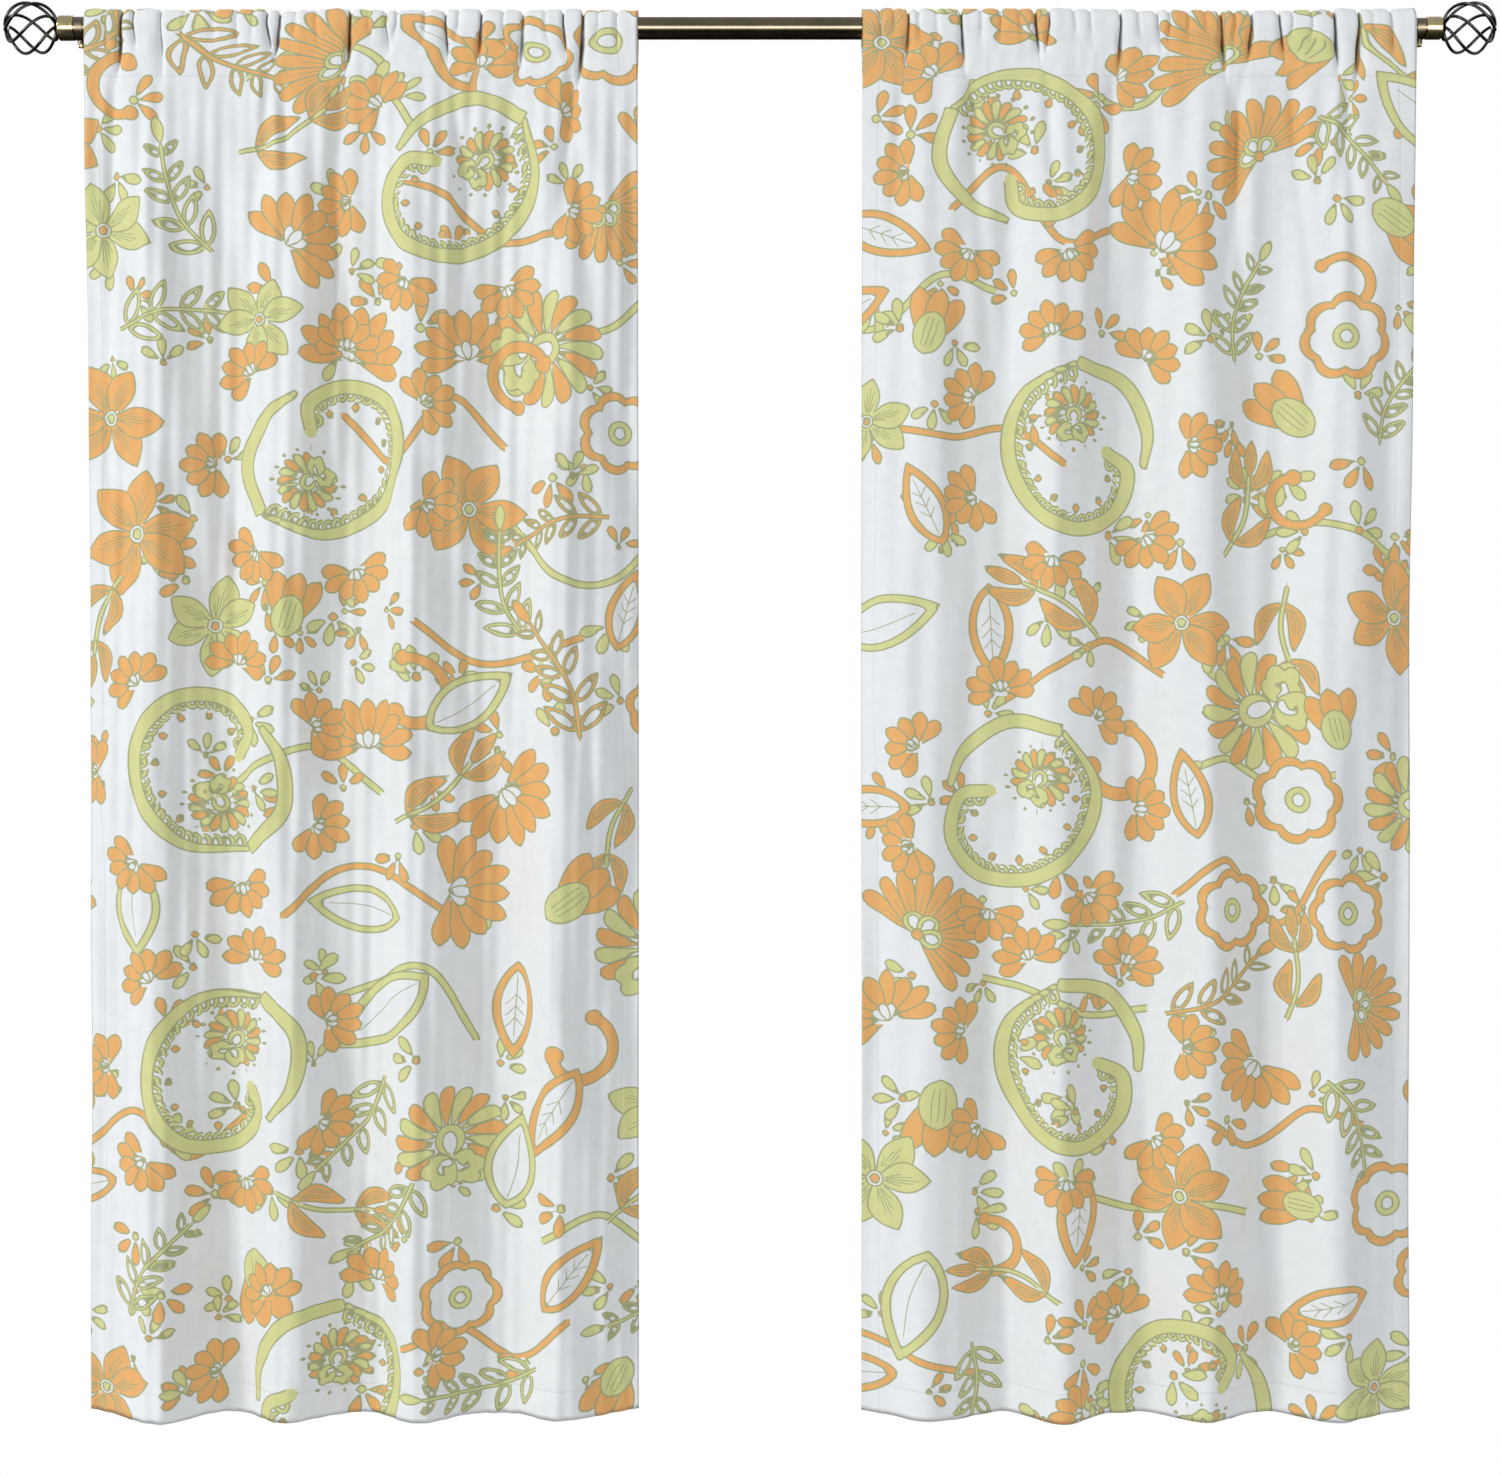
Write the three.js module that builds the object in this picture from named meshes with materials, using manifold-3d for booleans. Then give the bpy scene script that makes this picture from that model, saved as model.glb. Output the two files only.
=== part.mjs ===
// Window curtains on a rod: two rod-pocket panels on a telescopic rod, with cage-ball finials and wall brackets.
// Millimetres, +Z up, +X to the right, the wall at +Y. The origin is the centre of the left wall plate's back face.
import * as THREE from "three";
import { mergeVertices } from "three/addons/utils/BufferGeometryUtils.js";
import Module from "manifold-3d";

const wasm = await Module();
wasm.setup();

// Rod: two tubes, one inside the other.
const ROD_LENGTH = 1564; // tube end to tube end, as set on the wall
const TUBE_LENGTH = 1170; // each of the two tubes
const OUTER_TUBE_DIAMETER = 25.4;
const TUBE_WALL = 0.9;
const TELESCOPE_GAP = 0.3;
const FIT_GAP = 0.3; // between pieces that touch
const TUBE_SIDES = 32;

// End plugs, studs and the plug that centres the inner tube.
const PLUG_LENGTH = 22;
const STUD_RADIUS = 3;
const STUD_LENGTH = 20;
const GUIDE_BODY_LENGTH = 18;
const GUIDE_FLANGE = 3;

// Finials: a collar over the tube's end, and a ball of twisted wires.
const COLLAR_COVER = 15; // how much of the tube the collar covers
const COLLAR_WALL = 1;
const COLLAR_END = 2.5;
const BALL_RADIUS = 29.5; // to the middle of a wire
const BALL_STANDOFF = 31.5; // from the collar's face to the ball's middle
const WIRE_COUNT = 6;
const WIRE_RADIUS = 1.6;
const WIRE_TWIST = (165 * Math.PI) / 180; // from one pole to the other
const WIRE_STEPS = 24;
const WIRE_SIDES = 8;
const HUB_RADIUS = 6;
const HUB_HALF_THICKNESS = 2.2;
const WIRE_TO_HUB = 0.8;
const STUD_IN_NECK = 2;

// Wall brackets.
const PROJECTION = 80; // from the wall to the rod's axis
const ARM_DROP = 4; // the arm's middle, below the rod's axis
const ARM_WIDTH = 7;
const ARM_HEIGHT = 9;
const CRADLE_WIDTH = 8;
const CRADLE_WALL = 2.2;
const CRADLE_LIP = (10 * Math.PI) / 180; // how far the cradle rises above the rod's middle
const CRADLE_TO_COLLAR = 3;
const BOSS_RADIUS = 3.8;
const BOSS_HEIGHT = 3.5;
const CLAMP_RADIUS = 1.9;
const KNOB_RADIUS = 3.4;
const KNOB_HEIGHT = 2.6;
const KNOB_LOBE_DEPTH = 0.3;
const KNOB_TO_BOSS = 0.8;
const KNOB_LOBES = 10;
const PLATE_WIDTH = 30;
const PLATE_HEIGHT = 62;
const PLATE_THICKNESS = 3;
const PLATE_CORNER = 8;
const SCREW_SPACING = 42;
const SCREW_RADIUS = 2.2;
const SCREW_LENGTH = 28;
const SCREW_HEAD_RADIUS = 4.2;
const SCREW_HEAD_HEIGHT = 1.8;

// Curtain panels, gathered on the rod. Each hangs as overlapping folds that slide over one another.
const PANEL_WIDTH = 625; // as hung
const PANEL_DROP = 1578; // from the rod's axis to the hem
const PANEL_TO_CRADLE = 4;
const FOLD_COUNT = 5;
const FOLD_WIDTH = 135;
const CLOTH_THICKNESS = 1.5;
const FOLD_GAP = 0.5; // between the layers of neighbouring folds
const POCKET_CLEARANCE = 0.8; // between the rod and the innermost fold
const POCKET_DEPTH = 60; // how far the cloth turned over the rod comes down behind it, from the axis

// Places worked out from the sizes above.
const rodHalf = ROD_LENGTH / 2;
const outerTubeRadius = OUTER_TUBE_DIAMETER / 2;
const innerTubeRadius = outerTubeRadius - TUBE_WALL - TELESCOPE_GAP;
const cradleX = rodHalf - COLLAR_COVER - CRADLE_TO_COLLAR - CRADLE_WIDTH / 2;
const panelOuterX = cradleX - CRADLE_WIDTH / 2 - PANEL_TO_CRADLE;

const bronze = new THREE.MeshStandardMaterial({ color: 0x2b241b, roughness: 0.3, metalness: 1 });
const brass = new THREE.MeshStandardMaterial({ color: 0x8f8055, roughness: 0.25, metalness: 1 });
const blackIron = new THREE.MeshStandardMaterial({ color: 0x15140f, roughness: 0.4, metalness: 0.9 });
const zinc = new THREE.MeshStandardMaterial({ color: 0x9a9a98, roughness: 0.35, metalness: 1 });
const nylon = new THREE.MeshStandardMaterial({ color: 0xd8d6cf, roughness: 0.6, metalness: 0 });
const cloth = new THREE.MeshStandardMaterial({ color: 0xe6eaec, roughness: 0.9, metalness: 0 });

const root = new THREE.Group();
const rodFrame = new THREE.Group(); // its origin is on the rod's axis, midway between the tube ends
rodFrame.position.set(cradleX, -PROJECTION, ARM_DROP);
root.add(rodFrame);

function addPiece(parent, name, geometry, material, x = 0, y = 0, z = 0) {
  const piece = new THREE.Mesh(geometry, material);
  piece.name = name;
  piece.position.set(x, y, z);
  parent.add(piece);
  return piece;
}

// A closed geometry as a solid that can be joined and cut.
function toSolid(geometry) {
  const bare = geometry.index ? geometry.toNonIndexed() : geometry.clone();
  bare.deleteAttribute("normal");
  bare.deleteAttribute("uv");
  const merged = mergeVertices(bare, 1e-4);
  return new wasm.Manifold(
    new wasm.Mesh({
      numProp: 3,
      vertProperties: new Float32Array(merged.attributes.position.array),
      triVerts: new Uint32Array(merged.index.array),
    }),
  );
}

function fromSolid(solid) {
  const { vertProperties, triVerts } = solid.getMesh();
  return new THREE.BufferGeometry()
    .setAttribute("position", new THREE.BufferAttribute(vertProperties, 3))
    .setIndex(new THREE.BufferAttribute(triVerts, 1));
}

// Turned pieces: a profile of [radius, height] points, turned about Y and then laid along an axis.
function turned(profile, sides = TUBE_SIDES) {
  return new THREE.LatheGeometry(profile.map(([r, h]) => new THREE.Vector2(r, h)), sides);
}

function turnedAlongX(profile, sides) {
  return turned(profile, sides).rotateZ(-Math.PI / 2);
}

function turnedAlongZ(profile, sides) {
  return turned(profile, sides).rotateX(Math.PI / 2);
}

function turnedAlongY(profile, sides) {
  return turned(profile, sides);
}

// A flat section drawn in Y and Z, given a width along X and centred on it.
function acrossX(shape, width, curveSegments = 12) {
  const toYZ = new THREE.Matrix4().makeBasis(
    new THREE.Vector3(0, 1, 0),
    new THREE.Vector3(0, 0, 1),
    new THREE.Vector3(1, 0, 0),
  );
  return new THREE.ExtrudeGeometry(shape, { depth: width, bevelEnabled: false, curveSegments })
    .translate(0, 0, -width / 2)
    .applyMatrix4(toYZ);
}

// A tube between two places on the axis, as a closed ring section.
function tubeGeometry(innerRadius, outerRadius, length) {
  const half = length / 2;
  return turnedAlongX([
    [innerRadius, -half],
    [outerRadius, -half],
    [outerRadius, half],
    [innerRadius, half],
    [innerRadius, -half],
  ]);
}

// ---- Rod ----

function addRod() {
  const centre = rodHalf - TUBE_LENGTH / 2;
  const outer = tubeGeometry(outerTubeRadius - TUBE_WALL, outerTubeRadius, TUBE_LENGTH);
  const inner = tubeGeometry(innerTubeRadius - TUBE_WALL, innerTubeRadius, TUBE_LENGTH);
  addPiece(rodFrame, "rod_outer_tube", outer, bronze, -centre);
  addPiece(rodFrame, "rod_inner_tube", inner, bronze, centre);
  addEndPlug("left_end_plug", -1, outerTubeRadius);
  addEndPlug("right_end_plug", 1, innerTubeRadius);
  addGuidePlug();
}

// A round insert pressed into a tube's end, with the hole that the finial's stud screws into.
function addEndPlug(name, side, tubeRadius) {
  const geometry = tubeGeometry(STUD_RADIUS + FIT_GAP, tubeRadius - TUBE_WALL - FIT_GAP, PLUG_LENGTH);
  addPiece(rodFrame, name, geometry, nylon, side * (rodHalf - PLUG_LENGTH / 2));
}

// The flanged plug on the inner tube's hidden end keeps it central in the outer tube.
function addGuidePlug() {
  const bodyRadius = innerTubeRadius - TUBE_WALL - FIT_GAP;
  const geometry = turnedAlongX([
    [0, -GUIDE_FLANGE],
    [innerTubeRadius, -GUIDE_FLANGE],
    [innerTubeRadius, 0],
    [bodyRadius, 0],
    [bodyRadius, GUIDE_BODY_LENGTH],
    [0, GUIDE_BODY_LENGTH],
  ]);
  addPiece(rodFrame, "inner_tube_guide_plug", geometry, nylon, rodHalf - TUBE_LENGTH - FIT_GAP);
}

// ---- Finials ----

// One wire of the ball: it runs from pole to pole while it turns about the rod's axis.
class CageWire extends THREE.Curve {
  constructor(side, startAngle) {
    super();
    this.side = side;
    this.startAngle = startAngle;
    this.poleLatitude = Math.acos((HUB_RADIUS + WIRE_TO_HUB) / BALL_RADIUS);
  }
  getPoint(t, target = new THREE.Vector3()) {
    const latitude = (2 * t - 1) * this.poleLatitude;
    const angle = this.startAngle + (this.side * WIRE_TWIST * latitude) / Math.PI;
    const radius = BALL_RADIUS * Math.cos(latitude);
    return target.set(BALL_RADIUS * Math.sin(latitude), radius * Math.cos(angle), radius * Math.sin(angle));
  }
}

function circleShape(radius, sides) {
  const shape = new THREE.Shape();
  for (let i = 0; i < sides; i += 1) {
    const angle = (2 * Math.PI * i) / sides;
    const place = [radius * Math.cos(angle), radius * Math.sin(angle)];
    if (i === 0) shape.moveTo(...place);
    else shape.lineTo(...place);
  }
  shape.closePath();
  return shape;
}

function addFinial(sideName, side, tubeRadius) {
  const faceX = rodHalf + FIT_GAP + COLLAR_END;
  addCollar(sideName, side, tubeRadius);
  const finial = new THREE.Group(); // its origin is the ball's middle
  finial.position.x = side * (faceX + BALL_STANDOFF);
  rodFrame.add(finial);

  const hubX = Math.sqrt(BALL_RADIUS ** 2 - (HUB_RADIUS + WIRE_TO_HUB) ** 2);
  const neckStart = -BALL_STANDOFF + FIT_GAP;
  const neckEnd = -hubX + HUB_HALF_THICKNESS;
  const neck = turnedAlongX([
    [0, neckStart + STUD_IN_NECK],
    [STUD_RADIUS + FIT_GAP, neckStart + STUD_IN_NECK],
    [STUD_RADIUS + FIT_GAP, neckStart],
    [HUB_RADIUS, neckStart],
    [HUB_RADIUS, neckEnd],
    [0, neckEnd],
  ], 24);
  const tipStart = hubX - HUB_HALF_THICKNESS;
  const tipEnd = hubX + HUB_HALF_THICKNESS;
  const tip = turnedAlongX([
    [0, tipStart],
    [HUB_RADIUS, tipStart],
    [HUB_RADIUS, tipEnd - 1],
    [HUB_RADIUS - 1.5, tipEnd],
    [0, tipEnd],
  ], 24);
  // The left finial is the right one turned end for end, with its wires twisted the other way.
  const facing = side > 0 ? 0 : Math.PI;
  addPiece(finial, `${sideName}_finial_neck`, neck.rotateZ(facing), blackIron);
  addPiece(finial, `${sideName}_finial_tip`, tip.rotateZ(facing), blackIron);

  for (let i = 0; i < WIRE_COUNT; i += 1) {
    const path = new CageWire(side, ((i + 0.3) * 2 * Math.PI) / WIRE_COUNT);
    const wire = new THREE.ExtrudeGeometry(circleShape(WIRE_RADIUS, WIRE_SIDES), {
      steps: WIRE_STEPS,
      extrudePath: path,
    });
    addPiece(finial, `${sideName}_finial_wire_${i + 1}`, wire, blackIron);
  }
}

// The collar slips over the tube's end; the stud runs from the end plug through it into the neck.
function addCollar(sideName, side, tubeRadius) {
  const bore = tubeRadius + FIT_GAP;
  const outside = bore + COLLAR_WALL;
  const mouth = -COLLAR_COVER;
  const endInside = FIT_GAP;
  const endOutside = FIT_GAP + COLLAR_END;
  const studHole = STUD_RADIUS + FIT_GAP;
  const collar = turnedAlongX([
    [bore, mouth],
    [outside, mouth],
    [outside, endOutside - 1],
    [outside - 1, endOutside],
    [studHole, endOutside],
    [studHole, endInside],
    [bore, endInside],
    [bore, mouth],
  ]);
  const studEnd = endOutside + STUD_IN_NECK - FIT_GAP;
  const stud = turnedAlongX([
    [0, studEnd - STUD_LENGTH],
    [STUD_RADIUS, studEnd - STUD_LENGTH],
    [STUD_RADIUS, studEnd],
    [0, studEnd],
  ], 16);
  const facing = side > 0 ? 0 : Math.PI;
  addPiece(rodFrame, `${sideName}_finial_collar`, collar.rotateZ(facing), brass, side * rodHalf);
  addPiece(rodFrame, `${sideName}_finial_stud`, stud.rotateZ(facing), zinc, side * rodHalf);
}

// ---- Brackets ----

function addBracket(sideName, side, tubeRadius) {
  const bracket = new THREE.Group(); // its origin is on the rod's axis, in the middle of the cradle
  bracket.position.x = side * cradleX;
  rodFrame.add(bracket);
  addPiece(bracket, `${sideName}_bracket_arm`, bracketArm(tubeRadius), bronze);
  addPiece(bracket, `${sideName}_clamp_screw`, clampScrew(tubeRadius), bronze);
  addPiece(bracket, `${sideName}_wall_plate`, wallPlate(), bronze, 0, PROJECTION, -ARM_DROP);
  for (const [end, up] of [["upper", 1], ["lower", -1]]) {
    const z = -ARM_DROP + (up * SCREW_SPACING) / 2;
    addPiece(bracket, `${sideName}_${end}_screw`, wallScrew(), zinc, 0, PROJECTION - PLATE_THICKNESS, z);
  }
}

// The arm, the U-shaped cradle under the rod and the boss for the clamp screw are one casting.
function bracketArm(tubeRadius) {
  const inner = tubeRadius + FIT_GAP;
  const outer = inner + CRADLE_WALL;
  const cradle = new THREE.Shape();
  cradle.absarc(0, 0, outer, Math.PI - CRADLE_LIP, 2 * Math.PI + CRADLE_LIP, false);
  cradle.absarc(0, 0, inner, 2 * Math.PI + CRADLE_LIP, Math.PI - CRADLE_LIP, true);
  cradle.closePath();

  const armStart = inner + CRADLE_WALL / 2;
  const armLength = PROJECTION - PLATE_THICKNESS - FIT_GAP - armStart;
  const arm = new THREE.BoxGeometry(ARM_WIDTH, armLength, ARM_HEIGHT);
  arm.translate(0, armStart + armLength / 2, -ARM_DROP);

  const bossTop = -inner - CRADLE_WALL / 2;
  const bossBottom = -outer - BOSS_HEIGHT;
  const boss = turnedAlongZ([[0, bossBottom], [BOSS_RADIUS, bossBottom], [BOSS_RADIUS, bossTop], [0, bossTop]], 24);
  const holeRadius = CLAMP_RADIUS + FIT_GAP;
  const hole = turnedAlongZ([[0, bossBottom - 1], [holeRadius, bossBottom - 1], [holeRadius, 0], [0, 0]], 16);
  const casting = toSolid(acrossX(cradle, CRADLE_WIDTH, 24)).add(toSolid(arm)).add(toSolid(boss));
  return fromSolid(casting.subtract(toSolid(hole)));
}

// A thumbscrew under the cradle: its tip stops just short of the rod.
function clampScrew(tubeRadius) {
  const tipZ = -tubeRadius - FIT_GAP;
  const knobTop = -(tubeRadius + FIT_GAP + CRADLE_WALL) - BOSS_HEIGHT - KNOB_TO_BOSS;
  const shank = turnedAlongZ([[0, knobTop - 1], [CLAMP_RADIUS, knobTop - 1], [CLAMP_RADIUS, tipZ], [0, tipZ]], 16);
  const outline = new THREE.Shape();
  const points = KNOB_LOBES * 4;
  for (let i = 0; i < points; i += 1) {
    const angle = (2 * Math.PI * i) / points;
    const radius = KNOB_RADIUS + KNOB_LOBE_DEPTH * Math.cos(KNOB_LOBES * angle);
    const place = [radius * Math.cos(angle), radius * Math.sin(angle)];
    if (i === 0) outline.moveTo(...place);
    else outline.lineTo(...place);
  }
  outline.closePath();
  const knob = new THREE.ExtrudeGeometry(outline, { depth: KNOB_HEIGHT, bevelEnabled: false });
  knob.translate(0, 0, knobTop - KNOB_HEIGHT);
  return fromSolid(toSolid(shank).add(toSolid(knob)));
}

function wallPlate() {
  const halfWidth = PLATE_WIDTH / 2;
  const halfHeight = PLATE_HEIGHT / 2;
  const corner = Math.min(PLATE_CORNER, halfWidth);
  const outline = new THREE.Shape();
  outline.moveTo(-halfWidth + corner, -halfHeight);
  outline.absarc(halfWidth - corner, -halfHeight + corner, corner, -Math.PI / 2, 0, false);
  outline.absarc(halfWidth - corner, halfHeight - corner, corner, 0, Math.PI / 2, false);
  outline.absarc(-halfWidth + corner, halfHeight - corner, corner, Math.PI / 2, Math.PI, false);
  outline.absarc(-halfWidth + corner, -halfHeight + corner, corner, Math.PI, 1.5 * Math.PI, false);
  outline.closePath();
  for (const up of [-1, 1]) {
    const hole = new THREE.Path();
    hole.absarc(0, (up * SCREW_SPACING) / 2, SCREW_RADIUS + FIT_GAP, 0, 2 * Math.PI, true);
    outline.holes.push(hole);
  }
  // Drawn in X and Z, its back face at y = 0 and its front towards the room.
  const plate = new THREE.ExtrudeGeometry(outline, { depth: PLATE_THICKNESS, bevelEnabled: false, curveSegments: 8 });
  return plate.rotateX(Math.PI / 2);
}

// A round-headed screw whose head sits on the plate and whose shank runs into the wall.
function wallScrew() {
  return turnedAlongY([
    [0, -FIT_GAP - SCREW_HEAD_HEIGHT],
    [SCREW_HEAD_RADIUS * 0.6, -FIT_GAP - SCREW_HEAD_HEIGHT],
    [SCREW_HEAD_RADIUS, -FIT_GAP],
    [SCREW_RADIUS, -FIT_GAP],
    [SCREW_RADIUS, SCREW_LENGTH - 3],
    [0, SCREW_LENGTH],
  ], 16);
}

// ---- Curtain panels ----

// A pocket's section: cloth that comes up in front of the rod, over it and down behind it.
function pocketSection(inside, outside) {
  const section = new THREE.Shape();
  section.moveTo(-outside, -POCKET_DEPTH);
  section.absarc(0, 0, outside, Math.PI, 0, true);
  section.lineTo(outside, -POCKET_DEPTH);
  section.lineTo(inside, -POCKET_DEPTH);
  section.absarc(0, 0, inside, 0, Math.PI, false);
  section.lineTo(-inside, -POCKET_DEPTH);
  section.closePath();
  return section;
}

// The folds are nested: each one further in lies outside the one before it, so they slide over one another.
function addPanel(sideName, side) {
  for (let i = 0; i < FOLD_COUNT; i += 1) {
    const share = i / (FOLD_COUNT - 1); // 0 at the panel's outer edge, 1 at its leading edge
    const x = side * (panelOuterX - share * (PANEL_WIDTH - FOLD_WIDTH) - FOLD_WIDTH / 2);
    const inside = outerTubeRadius + POCKET_CLEARANCE + i * (CLOTH_THICKNESS + FOLD_GAP);
    const outside = inside + CLOTH_THICKNESS;
    const pocket = acrossX(pocketSection(inside, outside), FOLD_WIDTH);
    addPiece(rodFrame, `${sideName}_pocket_${i + 1}`, pocket, cloth, x);

    const top = -POCKET_DEPTH - FIT_GAP;
    const fall = new THREE.BoxGeometry(FOLD_WIDTH, CLOTH_THICKNESS, PANEL_DROP + top);
    const y = -(inside + outside) / 2;
    addPiece(rodFrame, `${sideName}_fold_${i + 1}`, fall, cloth, x, y, (top - PANEL_DROP) / 2);
  }
}

addRod();
for (const [sideName, side, tubeRadius] of [["left", -1, outerTubeRadius], ["right", 1, innerTubeRadius]]) {
  addFinial(sideName, side, tubeRadius);
  addBracket(sideName, side, tubeRadius);
  addPanel(sideName, side);
}

export default root;
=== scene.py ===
"""Two printed rod-pocket curtain panels on a telescopic rod with cage-ball finials, for Blender."""
import math

import bmesh
import bpy
import numpy as np
from bpy.props import FloatProperty, FloatVectorProperty, IntProperty, PointerProperty
from mathutils import Matrix, Vector


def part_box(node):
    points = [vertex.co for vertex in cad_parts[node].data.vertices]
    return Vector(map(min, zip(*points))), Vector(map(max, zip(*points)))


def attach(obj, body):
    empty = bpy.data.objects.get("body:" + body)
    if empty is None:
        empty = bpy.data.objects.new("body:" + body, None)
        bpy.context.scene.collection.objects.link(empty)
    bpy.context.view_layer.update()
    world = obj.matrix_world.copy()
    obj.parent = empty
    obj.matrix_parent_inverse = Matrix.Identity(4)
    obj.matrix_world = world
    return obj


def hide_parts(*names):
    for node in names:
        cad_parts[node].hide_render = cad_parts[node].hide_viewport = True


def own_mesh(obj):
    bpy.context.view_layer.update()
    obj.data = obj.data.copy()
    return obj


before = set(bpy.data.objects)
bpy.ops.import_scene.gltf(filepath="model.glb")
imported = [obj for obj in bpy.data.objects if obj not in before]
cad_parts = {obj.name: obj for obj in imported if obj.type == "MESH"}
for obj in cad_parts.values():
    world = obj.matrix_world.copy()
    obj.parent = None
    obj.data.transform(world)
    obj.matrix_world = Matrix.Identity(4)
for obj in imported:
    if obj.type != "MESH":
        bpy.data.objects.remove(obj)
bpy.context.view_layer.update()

bl_info = {
    "name": "Window Curtains on a Rod",
    "version": (1, 0, 0),
    "blender": (4, 5, 0),
    "location": "View3D > Sidebar > Curtains",
    "description": "Builds printed curtain panels, their rod, finials and brackets on the loaded frame",
    "category": "Object",
}

MM = 0.001
SIDES = ("left", "right")
BALL_RADIUS = 29.5 * MM
WIRE_THICKNESS = 3.6 * MM
WIRE_END = 3.4 * MM  # how far from the axis the wires end, inside the hubs
WIRE_TWIST = math.radians(165)
WIRE_STEPS = 72
WIRES = range(1, 7)
STRIPS = range(1, 6)


# ---------------------------------------------------------------- places taken from the frame

def box_of(node):
    low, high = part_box(node)
    return Vector(low), Vector(high)


def middle_of(node):
    low, high = box_of(node)
    return (low + high) / 2


ROD_CENTRE = (middle_of("rod_outer_tube") + middle_of("rod_inner_tube")) / 2
OUTER_TUBE_RADIUS = (box_of("rod_outer_tube")[1].z - box_of("rod_outer_tube")[0].z) / 2
INNER_TUBE_RADIUS = (box_of("rod_inner_tube")[1].z - box_of("rod_inner_tube")[0].z) / 2
HEM_Z = box_of("left_fold_1")[0].z
SEAM_Z = box_of("left_fold_1")[1].z


def panel_span(side):
    """The panel's lowest and highest X."""
    spans = [box_of(f"{side}_fold_{i}") for i in STRIPS]
    return min(low.x for low, _ in spans), max(high.x for _, high in spans)


# ---------------------------------------------------------------- settings a user would change

class CurtainClothSettings(bpy.types.PropertyGroup):
    flat_width: FloatProperty(
        name="Flat width", description="Width of one panel between its side hems, laid flat",
        default=0.80, min=0.63, unit="LENGTH")
    side_hem: FloatProperty(
        name="Side hem", description="Width of the cloth turned back down each side",
        default=0.025, min=0.005, unit="LENGTH")
    bottom_hem: FloatProperty(
        name="Bottom hem", description="Height of the cloth turned up behind the bottom edge",
        default=0.040, min=0.005, unit="LENGTH")
    fold_depth: FloatProperty(
        name="Fold depth", description="How far the big folds stand in front of the middle of the cloth at the hem",
        default=0.0225, min=0.0, unit="LENGTH")
    pleat_depth: FloatProperty(
        name="Pleat depth", description="Depth of the gathers where the cloth is bunched on the rod",
        default=0.0075, min=0.0, unit="LENGTH")
    columns: IntProperty(name="Columns", description="Cells across one panel between its hems", default=308)
    ground: FloatVectorProperty(
        name="Ground", description="Colour of the cloth between the printed shapes",
        default=(0.765, 0.795, 0.815), subtype="COLOR", min=0, max=1)
    orange: FloatVectorProperty(
        name="Orange ink", description="Colour of the orange flowers", default=(0.780, 0.420, 0.150),
        subtype="COLOR", min=0, max=1)
    green: FloatVectorProperty(
        name="Green ink", description="Colour of the light green leaves", default=(0.636, 0.652, 0.294),
        subtype="COLOR", min=0, max=1)
    outline: FloatVectorProperty(
        name="Outline ink", description="Colour of the thin outlines", default=(0.370, 0.390, 0.210),
        subtype="COLOR", min=0, max=1)


class CurtainMetalSettings(bpy.types.PropertyGroup):
    bronze: FloatVectorProperty(
        name="Bronze", description="Colour of the rod's dark lacquer", default=(0.150, 0.120, 0.075),
        subtype="COLOR", min=0, max=1)
    brass: FloatVectorProperty(
        name="Brass", description="Colour of the collars", default=(0.52, 0.45, 0.24),
        subtype="COLOR", min=0, max=1)
    black: FloatVectorProperty(
        name="Black", description="Colour of the finials' wires", default=(0.020, 0.020, 0.016),
        subtype="COLOR", min=0, max=1)


class CurtainStageSettings(bpy.types.PropertyGroup):
    view_width: FloatProperty(
        name="View width", description="Width seen by the camera at the rod", default=1.7045, unit="LENGTH")
    camera_distance: FloatProperty(
        name="Camera distance", description="From the camera to the rod", default=2.9, unit="LENGTH")
    camera_drop: FloatProperty(
        name="Camera drop", description="How far the camera is below the rod", default=0.806, unit="LENGTH")
    key_power: FloatProperty(name="Key light", description="Power of the main soft light", default=82.0)
    room_light: FloatProperty(name="Room light", description="Strength of the even light all round", default=0.58)


# ---------------------------------------------------------------- helpers for meshes and materials

def finish_mesh(bm, name, material, smooth=True, sharp_degrees=35):
    """Writes a bmesh as an object at the origin, facing out, with edges over the angle kept sharp."""
    bmesh.ops.remove_doubles(bm, verts=bm.verts, dist=1e-6)
    bmesh.ops.recalc_face_normals(bm, faces=bm.faces)
    for face in bm.faces:
        face.smooth = smooth
    for edge in bm.edges:
        if len(edge.link_faces) == 2 and edge.calc_face_angle(0) > math.radians(sharp_degrees):
            edge.smooth = False
    mesh = bpy.data.meshes.new(name)
    bm.to_mesh(mesh)
    bm.free()
    mesh.materials.append(material)
    piece = bpy.data.objects.new(name, mesh)
    bpy.context.scene.collection.objects.link(piece)
    return piece


def turned_about_x(bm, profile, centre, steps=64):
    """Spins a profile of (along X, radius) places about the X line through centre."""
    verts = [bm.verts.new(centre + Vector((x, 0, radius))) for x, radius in profile]
    edges = [bm.edges.new(pair) for pair in zip(verts, verts[1:])]
    bmesh.ops.spin(bm, geom=verts + edges, cent=centre, axis=(1, 0, 0), angle=2 * math.pi,
                   steps=steps, use_merge=True)
    bmesh.ops.remove_doubles(bm, verts=bm.verts, dist=1e-6)


def new_material(name):
    material = bpy.data.materials.new(name)
    material.use_nodes = True
    tree = material.node_tree
    tree.nodes.clear()
    output = tree.nodes.new("ShaderNodeOutputMaterial")
    shader = tree.nodes.new("ShaderNodeBsdfPrincipled")
    tree.links.new(shader.outputs[0], output.inputs[0])
    return material, tree, shader


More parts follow.
